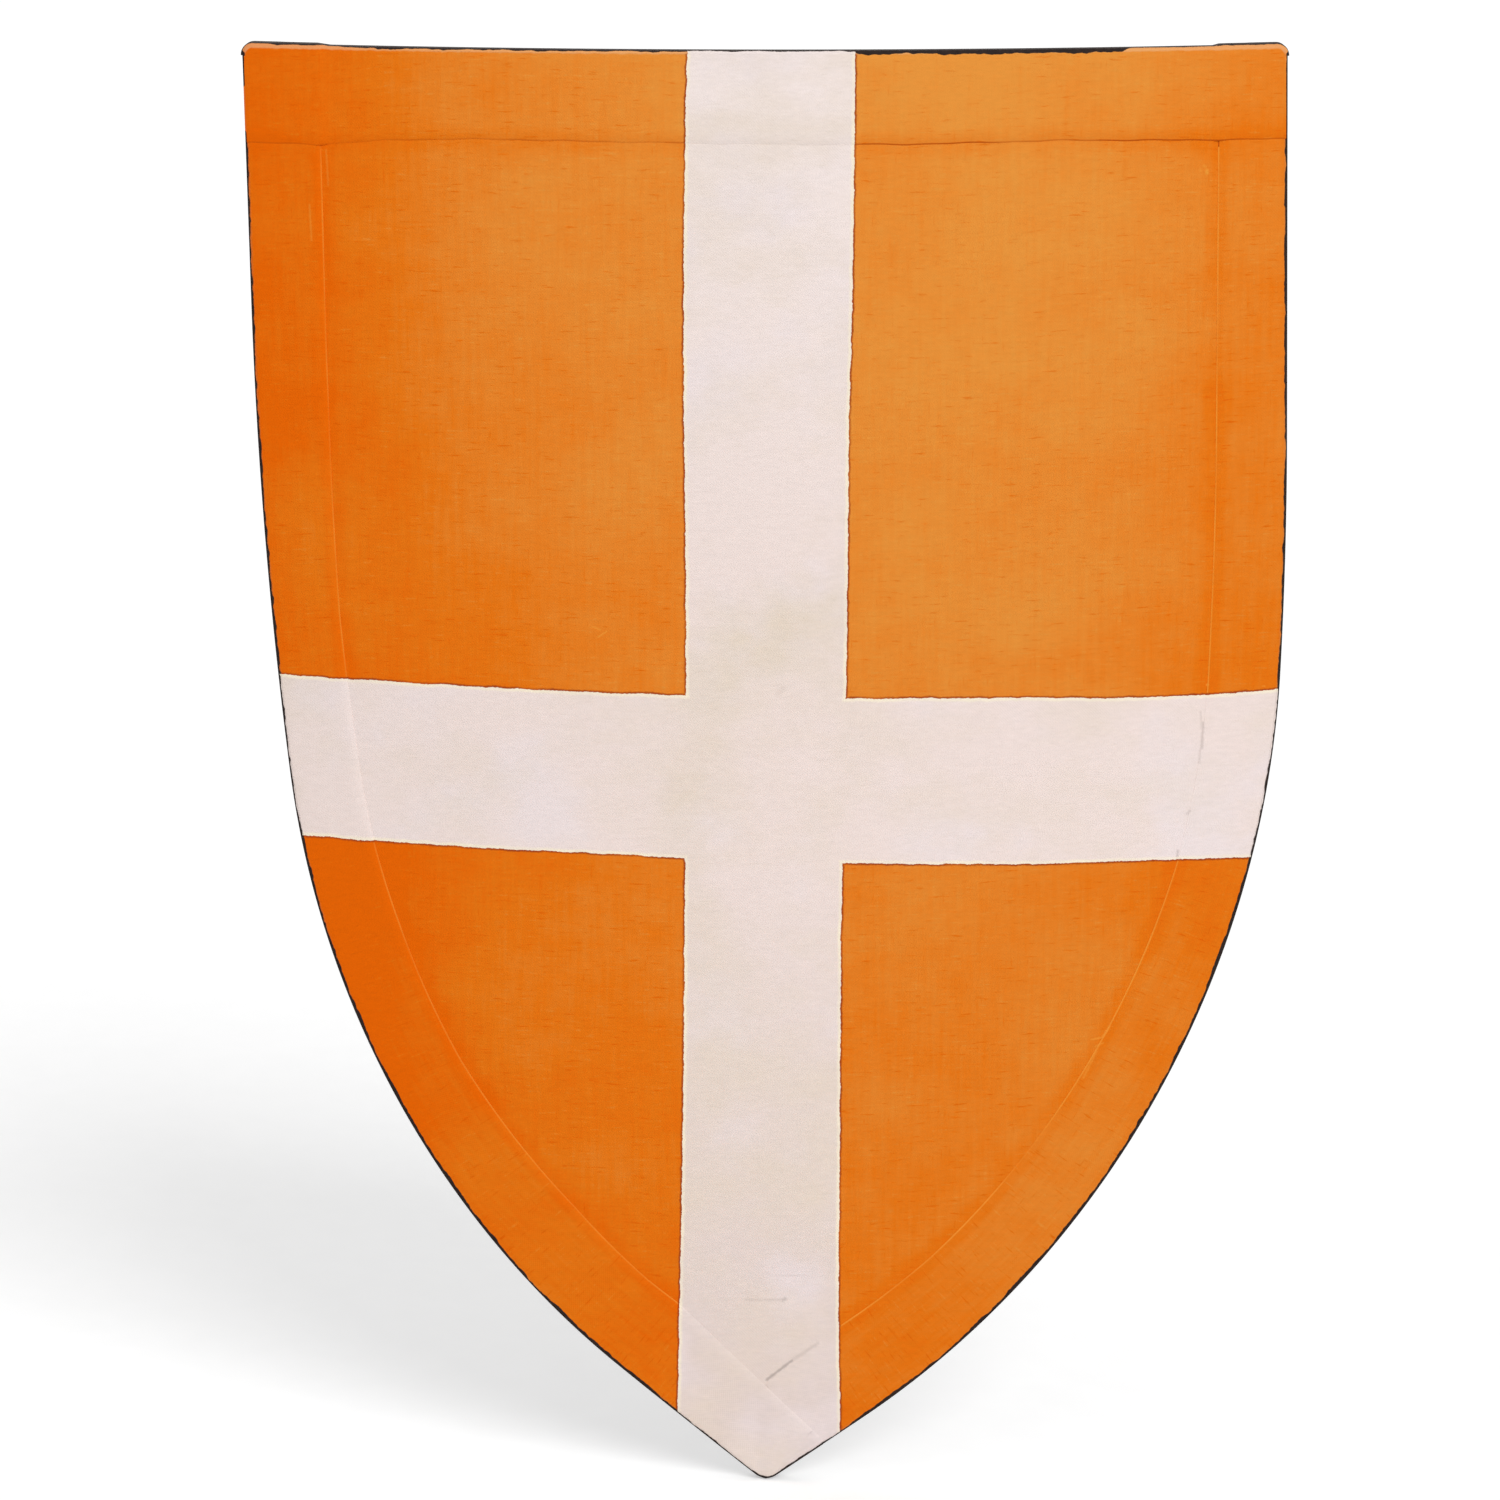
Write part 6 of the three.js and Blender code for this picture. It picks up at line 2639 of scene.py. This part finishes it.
def prism(name: str, seat: Matrix, outline: Sequence[Pair], low: float, high: float) -> Piece:
    """Makes a cutting shape that runs straight away from the board.

    Args:
        name: Its name.
        seat: The seat's frame.
        outline: Its outline across and up the seat.
        low: Where it starts.
        high: Where it ends.

    Returns:
        The closed shape.
    """
    count = len(outline)
    points = [seat @ Vector((x, y, z)) for y in (low, high) for x, z in outline]
    faces = ring_faces(count, 2)
    faces += [tuple(range(count)), tuple(range(count, 2 * count))]
    piece = mesh_object(name, points, faces)
    turn_outwards(piece)
    return piece


def round_outline(x: float, z: float, radius: float, tall: float = 0.0, steps: int = 24) -> list[Pair]:
    """Lists a circle, or a slot where it has a straight part.

    Args:
        x: Middle across the seat.
        z: Middle up the seat.
        radius: Radius of its ends.
        tall: Length of its straight part.
        steps: Points round it.

    Returns:
        The outline.
    """
    found = []
    for k in range(steps):
        angle = 2 * math.pi * (k + 0.5) / steps
        shift = tall / 2 if math.sin(angle) > 0 else -tall / 2
        found.append((x + radius * math.cos(angle), z + radius * math.sin(angle) + shift))
    return found


@dataclass
class ShoulderStrap:
    """The strap that hangs the shield from the shoulder: two tabs, two wire loops and two buckled halves."""

    place: float = 0.152
    width: float = 0.030
    thickness: float = 0.0025
    gap: float = 0.0003
    wire: float = 0.002
    tab_top: float = 0.283
    tab_bar: float = 0.231
    strap_bar: float = 0.213
    frame_bar: float = -0.037
    long_end: float = -0.287
    neck: float = 0.014
    fold_return: float = 0.040
    loop_width: float = 0.036
    loop_drop: float = 0.018
    frame_drop: float = 0.026
    corner: float = 0.003
    keeper_wall: float = 0.0015
    keeper_height: float = 0.010
    point: float = 0.024
    holes: int = 7
    hole_pitch: float = 0.025
    hole_radius: float = 0.002
    first_hole: float = 0.055
    roller_radius: float = 0.00275
    roller_wall: float = 0.0009
    roller_length: float = 0.028
    prong_width: float = 0.0046
    prong_thickness: float = 0.0017

    def __post_init__(self) -> None:
        """Works out the lengths that follow from the others."""
        self.fold_radius = self.wire + self.gap + self.thickness / 2
        self.flat_y = BOARD.seat_rise(self.width) + self.thickness / 2
        self.lap_y = self.flat_y + self.thickness + self.gap
        self.bar_y = self.flat_y + self.fold_radius
        self.lap_step = self.thickness + self.gap

    def seat(self, sign: int) -> Matrix:
        """Returns the seat on one side: 1 for the bearer's left."""
        return BOARD.seat(sign * self.place)

    def hide(self) -> Ribbon:
        """Returns the strap's section."""
        return Ribbon(self.width, self.thickness, 0.004, 0.004)

    def tab(self, workshop: Workshop, sign: int, label: str, seed: int) -> None:
        """Builds a riveted tab, folded round its loop.

        Args:
            workshop: The trees and finishes.
            sign: Side of the board.
            label: The solid's name.
            seed: Seed for the hammer marks.
        """
        seat = self.seat(sign)
        line = Line().to(self.lap_y, self.tab_top).to(self.lap_y, self.tab_bar + self.neck)
        lap, radius = self.lap_y - self.bar_y, self.fold_radius
        line.points += fold((self.bar_y, self.tab_bar), radius, -1, lap, radius, self.neck)
        line.to(self.flat_y, self.tab_top)
        piece = self.hide().sweep(f"{label}_hide", line.eased().placed(seat), sideways(seat))
        settle(piece, workshop.palette.strap, Body.BOARD, Slot.STRAP_LEATHER, label)
        top = self.lap_y + self.thickness / 2
        workshop.rivets(label, seat, ((0, self.tab_top - 0.009), (0, self.tab_top - 0.025)), top, seed)

    def loop_line(self, sign: int, top: float, drop: float) -> list[Vector]:
        """Draws a closed wire loop that hangs from its upper bar.

        Args:
            sign: Side of the board.
            top: Height of the upper bar.
            drop: Distance to the lower bar.

        Returns:
            The wire's middle line.
        """
        seat = self.seat(sign)
        x, z = self.loop_width / 2 - self.corner, drop / 2 - self.corner
        found = []
        for quarter, (cx, cz) in enumerate(((x, z), (-x, z), (-x, -z), (x, -z))):
            for k in range(7):
                angle = math.pi / 2 * (quarter + k / 6)
                at = (cx + self.corner * math.cos(angle), cz + self.corner * math.sin(angle))
                found.append(seat @ Vector((at[0], self.bar_y, top - drop / 2 + at[1])))
        return found

    def hanging(self, bottom: float) -> Line:
        """Draws the end that is folded back over the loop, and the run that hangs from it.

        Args:
            bottom: Where the run ends.

        Returns:
            The line.
        """
        rear = self.bar_y + self.lap_step
        line = Line().to(rear, self.strap_bar - self.fold_return).to(rear, self.strap_bar - self.neck)
        line.points += fold((self.bar_y, self.strap_bar), self.fold_radius, 1, self.lap_step, 0, self.neck)
        return line.to(self.bar_y, self.strap_bar - self.neck).to(self.bar_y, bottom)

    def fold_stitches(
        self, workshop: Workshop, sign: int, body: Body, name: str, ends: Sequence[Pair]
    ) -> None:
        """Sews the folded ends down, with a row along each edge and one across.

        Args:
            workshop: The trees and finishes.
            sign: Side of the board.
            body: The body that they move with.
            name: The piece's name.
            ends: For each fold, where the closed neck and the cut end are.
        """
        seat = self.seat(sign)
        y = self.bar_y + self.lap_step + self.thickness / 2 - 0.00005
        half = self.width / 2 - 0.0042
        rows = []
        for neck, cut in ends:
            for across in (-half, half):
                rows.append([seat @ Vector((across, y, neck + (cut - neck) * k / 8)) for k in range(9)])
            rows.append([seat @ Vector((half * (k / 4 - 1), y, cut)) for k in range(9)])
        workshop.sew(name, rows, body, 0.0040)

    def long_strap(self, workshop: Workshop) -> None:
        """Builds the long half, with its pointed end and its holes.

        Args:
            workshop: The trees and finishes.
        """
        seat = self.seat(1)
        hide = Ribbon(self.width, self.thickness, 0.004, 0.0, self.point, 0.007)
        line = self.hanging(self.long_end + self.point).to(self.bar_y, self.long_end, 0.0012).eased()
        piece = hide.sweep("long_strap_hide", line.placed(seat), sideways(seat))
        heights = [self.long_end + self.first_hole + self.hole_pitch * k for k in range(self.holes)]
        holes = [round_outline(0, z, self.hole_radius) for z in heights]
        cut_with(piece, [prism(f"hole_{k}", seat, hole, 0.0, 0.012) for k, hole in enumerate(holes)])
        shade(piece, 45)
        settle(piece, workshop.palette.strap, Body.LONG_STRAP, Slot.STRAP_LEATHER, "long_strap")
        ends = [(self.strap_bar - self.neck - 0.002, self.strap_bar - self.fold_return + 0.0042)]
        self.fold_stitches(workshop, 1, Body.LONG_STRAP, "long_strap_stitches", ends)

    def buckle_strap(self, workshop: Workshop) -> None:
        """Builds the short half, folded round its loop and round the buckle.

        Args:
            workshop: The trees and finishes.
        """
        seat = self.seat(-1)
        rear = self.bar_y + self.lap_step
        line = self.hanging(self.frame_bar + self.neck)
        turn = fold((self.bar_y, self.frame_bar), self.fold_radius, -1, self.lap_step, 0, self.neck)
        line.points += list(reversed(turn))
        line.to(rear, self.frame_bar + self.neck).to(rear, self.frame_bar + self.fold_return)
        piece = self.hide().sweep("buckle_strap_hide", line.eased().placed(seat), sideways(seat))
        slot = round_outline(0, self.frame_bar + 0.0035, 0.003, 0.017)
        cut_with(piece, [prism("prong_slot", seat, slot, -0.001, 0.016)])
        shade(piece, 45)
        settle(piece, workshop.palette.strap, Body.BUCKLE_STRAP, Slot.STRAP_LEATHER, "buckle_strap")
        ends = [
            (self.strap_bar - self.neck - 0.002, self.strap_bar - self.fold_return + 0.0042),
            (self.frame_bar + 0.018, self.frame_bar + self.fold_return - 0.0042),
        ]
        self.fold_stitches(workshop, -1, Body.BUCKLE_STRAP, "buckle_strap_stitches", ends)

    def roller(self, workshop: Workshop) -> None:
        """Builds the roller: a strip of iron bent round the frame's lower bar until its edges meet.

        Args:
            workshop: The trees and finishes.
        """
        seat = self.seat(-1)
        centre = (self.bar_y, self.frame_bar - self.frame_drop)
        start, end = math.radians(203), math.radians(203 + 353)
        line = Line().arc(centre, self.roller_radius, start, end, 0.0006)
        wall = Ribbon(self.roller_length, self.roller_wall, 0, 0, softness=0.35)
        piece = wall.sweep("buckle_roller_tube", line.placed(seat), sideways(seat))
        settle(piece, workshop.palette.iron, Body.BUCKLE_ROLLER, Slot.IRON, "buckle_roller")

    def prong(self, workshop: Workshop) -> None:
        """Builds the prong, curled round the frame's upper bar and drawn out to its tip.

        Args:
            workshop: The trees and finishes.
        """
        seat = self.seat(-1)
        line = Line().arc((self.bar_y, self.frame_bar), 0.0032, math.radians(-62), -2 * math.pi, 0.0006)
        curl = len(line.points)
        line.to(self.bar_y + 0.0036, self.frame_bar - 0.012, 0.001)
        line.to(self.bar_y + 0.0046, self.frame_bar - 0.0245, 0.001)
        line.to(self.bar_y + 0.0046, self.frame_bar - 0.029, 0.0006)
        line.eased(2)
        total = len(line.points) - curl
        sizes = []
        for k in range(len(line.points)):
            share = max(k - curl, 0) / total
            start = smooth(curl - 8, curl + 6, k)
            wide = self.prong_width + (0.0028 - 0.0006 * share - self.prong_width) * start
            thick = self.prong_thickness + (0.0026 - 0.0005 * share - self.prong_thickness) * start
            sizes.append((wide, thick))
        for k, shrink in ((-1, 0.35), (-2, 0.78), (-3, 0.94)):
            sizes[k] = (sizes[k][0] * shrink, sizes[k][1] * shrink)
        drawn = Ribbon(self.prong_width, self.prong_thickness, softness=0.46)
        piece = drawn.sweep("buckle_prong_drawn", line.placed(seat), sideways(seat), sizes)
        settle(piece, workshop.palette.iron, Body.BUCKLE_PRONG, Slot.IRON, "buckle_prong")

    def keeper(self, workshop: Workshop) -> None:
        """Builds the keeper: a leather band round both plies, sewn where its ends meet.

        Args:
            workshop: The trees and finishes.
        """
        seat = self.seat(-1)
        low = self.bar_y - self.thickness / 2 - self.gap
        high = low + self.gap + 2 * self.thickness + 0.0002
        x = self.width / 2 + 0.0006 + self.keeper_wall / 2
        y0, y1, corner = low - self.keeper_wall / 2, high + self.keeper_wall / 2, 0.0016
        z = self.frame_bar + self.fold_return + self.gap + self.keeper_height / 2
        corners = ((x, y1, -1, -1, 90), (x, y0, -1, 1, 0), (-x, y0, 1, 1, -90), (-x, y1, 1, -1, -180))
        points = [Vector((0.0001 + k * (x - corner) / 6, y1, z)) for k in range(6)]
        for cx, cy, sx, sy, start in corners:
            for k in range(6):
                angle = math.radians(start - 18 * k)
                across = cx + corner * (sx + math.cos(angle))
                points.append(Vector((across, cy + corner * (sy + math.sin(angle)), z)))
        points += [Vector((-0.0001 - k * (x - corner) / 6, y1, z)) for k in range(5, -1, -1)]
        band = Ribbon(self.keeper_height, self.keeper_wall)
        piece = band.sweep("strap_keeper_band", [seat @ p for p in points], Vector((0, 0, 1)))
        settle(piece, workshop.palette.strap, Body.KEEPER, Slot.STRAP_LEATHER, "strap_keeper")
        heights = [z - 0.0036 + 0.0012 * k for k in range(7)]
        face = y1 + self.keeper_wall / 2
        rows = [[seat @ Vector((across, face, height)) for height in heights] for across in (-0.0032, 0.0032)]
        workshop.sew("strap_keeper_stitches", rows, Body.KEEPER, 0.0022)

    def build(self, workshop: Workshop) -> None:
        """Builds every piece of the shoulder strap.

        Args:
            workshop: The trees and finishes.
        """
        self.tab(workshop, 1, "strap_tab_left", 31)
        self.tab(workshop, -1, "strap_tab_right", 32)
        left = self.loop_line(1, self.tab_bar, self.loop_drop)
        workshop.bend("wire_loop_left_bent", left, self.wire, Body.LOOP_LEFT, "wire_loop_left")
        right = self.loop_line(-1, self.tab_bar, self.loop_drop)
        workshop.bend("wire_loop_right_bent", right, self.wire, Body.LOOP_RIGHT, "wire_loop_right")
        self.long_strap(workshop)
        self.buckle_strap(workshop)
        buckle = self.loop_line(-1, self.frame_bar, self.frame_drop)
        workshop.bend("buckle_frame_bent", buckle, self.wire, Body.BUCKLE_FRAME, "buckle_frame")
        self.roller(workshop)
        self.prong(workshop)
        self.keeper(workshop)


# Studio


@dataclass
class Studio:
    """The floor, the light and the camera."""

    distance: float = 3.25
    elevation: float = 10.56
    lens: float = 144.7
    shift: float = -0.0107
    roll: float = 0.05
    aim: float = -0.0642
    aim_depth: float = -0.0299
    floor_level: float = -0.4738
    ambient: float = 0.36
    key: float = 0.52
    fill: float = 0.10
    rear: float = 0.20
    glow: float = 0.42

    def camera(self) -> None:
        """Sets the camera up as the photograph was taken."""
        rise = math.radians(self.elevation)
        data = bpy.data.cameras.new("view")
        data.lens = self.lens
        data.sensor_width = 36
        data.shift_x = self.shift
        camera = bpy.data.objects.new("view", data)
        back = Vector((0, -math.cos(rise), math.sin(rise))) * self.distance
        spot = Vector((0, self.aim_depth, self.aim)) + back
        turn = Matrix.Rotation(math.pi / 2 - rise, 4, "X") @ Matrix.Rotation(math.radians(self.roll), 4, "Z")
        camera.matrix_world = Matrix.Translation(spot) @ turn
        bpy.context.scene.collection.objects.link(camera)
        bpy.context.scene.camera = camera

    def lamp(self, name: str, strength: float, direction: Colour, spread: float) -> None:
        """Adds a soft lamp that shines along a direction.

        Args:
            name: Its name.
            strength: Share of a white surface's brightness that it gives, facing it.
            direction: Where its light goes.
            spread: How soft it is, in degrees.
        """
        data = bpy.data.lights.new(name, "SUN")
        data.energy = strength * math.pi
        data.angle = math.radians(spread)
        lamp = bpy.data.objects.new(name, data)
        lamp.rotation_euler = Vector(direction).to_track_quat("-Z", "Y").to_euler()
        bpy.context.scene.collection.objects.link(lamp)

    def world(self) -> None:
        """Makes the surroundings white to the eye and in reflections, and a plain soft light otherwise."""
        world = bpy.data.worlds.new("studio")
        world.use_nodes = True
        bpy.context.scene.world = world
        graph = Graph(world.node_tree)
        ground = world.node_tree.nodes["Background"]
        ground.inputs["Color"].default_value = (1, 1, 1, 1)
        rays = graph.add("ShaderNodeLightPath").outputs
        mirrored = graph.math("MAXIMUM", rays["Is Glossy Ray"], rays["Is Transmission Ray"])
        seen = graph.math("MAXIMUM", rays["Is Camera Ray"], mirrored)
        strength = graph.scaled(seen, 1 - self.ambient, self.ambient)
        graph.fill(ground, {"Strength": strength})

    def floor(self) -> None:
        """Lays a pale floor that keeps the shield's shadow."""
        reach = 40.0
        corners = [(-reach, -reach), (reach, -reach), (reach, reach), (-reach, reach)]
        floor = mesh_object("floor", [Vector((x, y, self.floor_level)) for x, y in corners], [(0, 1, 2, 3)])
        material, graph, shader = new_material("pale_floor")
        place = graph.place()
        grain = graph.noise(place, 60, 2.0)
        colour = graph.blend(graph.span(grain, 0.3, 0.7), (0.80, 0.80, 0.80), (0.82, 0.82, 0.82))
        graph.fill(shader, {"Base Color": colour})
        shader.inputs["Roughness"].default_value = 0.9
        shader.inputs["Specular IOR Level"].default_value = 0.0
        rays = graph.add("ShaderNodeLightPath").outputs
        strength = graph.times(rays["Is Camera Ray"], self.glow)
        glow = graph.add("ShaderNodeEmission", {"Color": (1.0, 1.0, 1.0), "Strength": strength})
        both = graph.add("ShaderNodeAddShader", {0: shader.outputs[0], 1: glow.outputs[0]})
        output = next(n for n in graph.tree.nodes if n.type == "OUTPUT_MATERIAL")
        graph.fill(output, {"Surface": both.outputs[0]})
        floor.data.materials.append(material)

    def build(self) -> None:
        """Sets everything up."""
        bpy.context.scene.view_settings.view_transform = "Standard"
        self.camera()
        self.world()
        self.lamp("key", self.key, (-0.42, 0.80, -0.62), 30)
        self.lamp("fill", self.fill, (0.70, 0.66, -0.25), 50)
        self.lamp("rear", self.rear, (0.25, -0.80, -0.55), 40)
        self.floor()


def main() -> None:
    """Builds the studio and the shield."""
    logging.basicConfig(level=logging.INFO, format="%(message)s")
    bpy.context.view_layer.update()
    Studio().build()
    palette = Palette()
    for node in ("front_ply", "middle_ply", "back_ply"):
        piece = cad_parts[node]
        for slot in piece.material_slots:
            slot.material = palette.ply
        LOG.info("%s keeps its solid", node)
    strips = EdgeStrips()
    Linen().build(palette, strips)
    strips.build(palette)
    workshop = Workshop(palette)
    ArmPad().build(workshop)
    forearm = ArchedStrap("forearm", 0.102, 0.050, 0.113, 0.064, 0.010, 0.034, 80)
    foot = forearm.half()[2] + forearm.foot - 0.015
    forearm.build(workshop, ((-0.013, foot), (0.013, foot), (-0.013, -foot), (0.013, -foot)), 21)
    grip = HandStrap("grip", -0.103, 0.032, 0.058, 0.052, 0.009, 0.044, 66)
    outer = grip.half()[2] + grip.foot - 0.012
    grip.build(workshop, ((0, outer), (0, outer - 0.020), (0, 0.020 - outer), (0, -outer)), 22)
    grip.bind(workshop)
    ShoulderStrap().build(workshop)


if __name__ == "__main__":
    main()
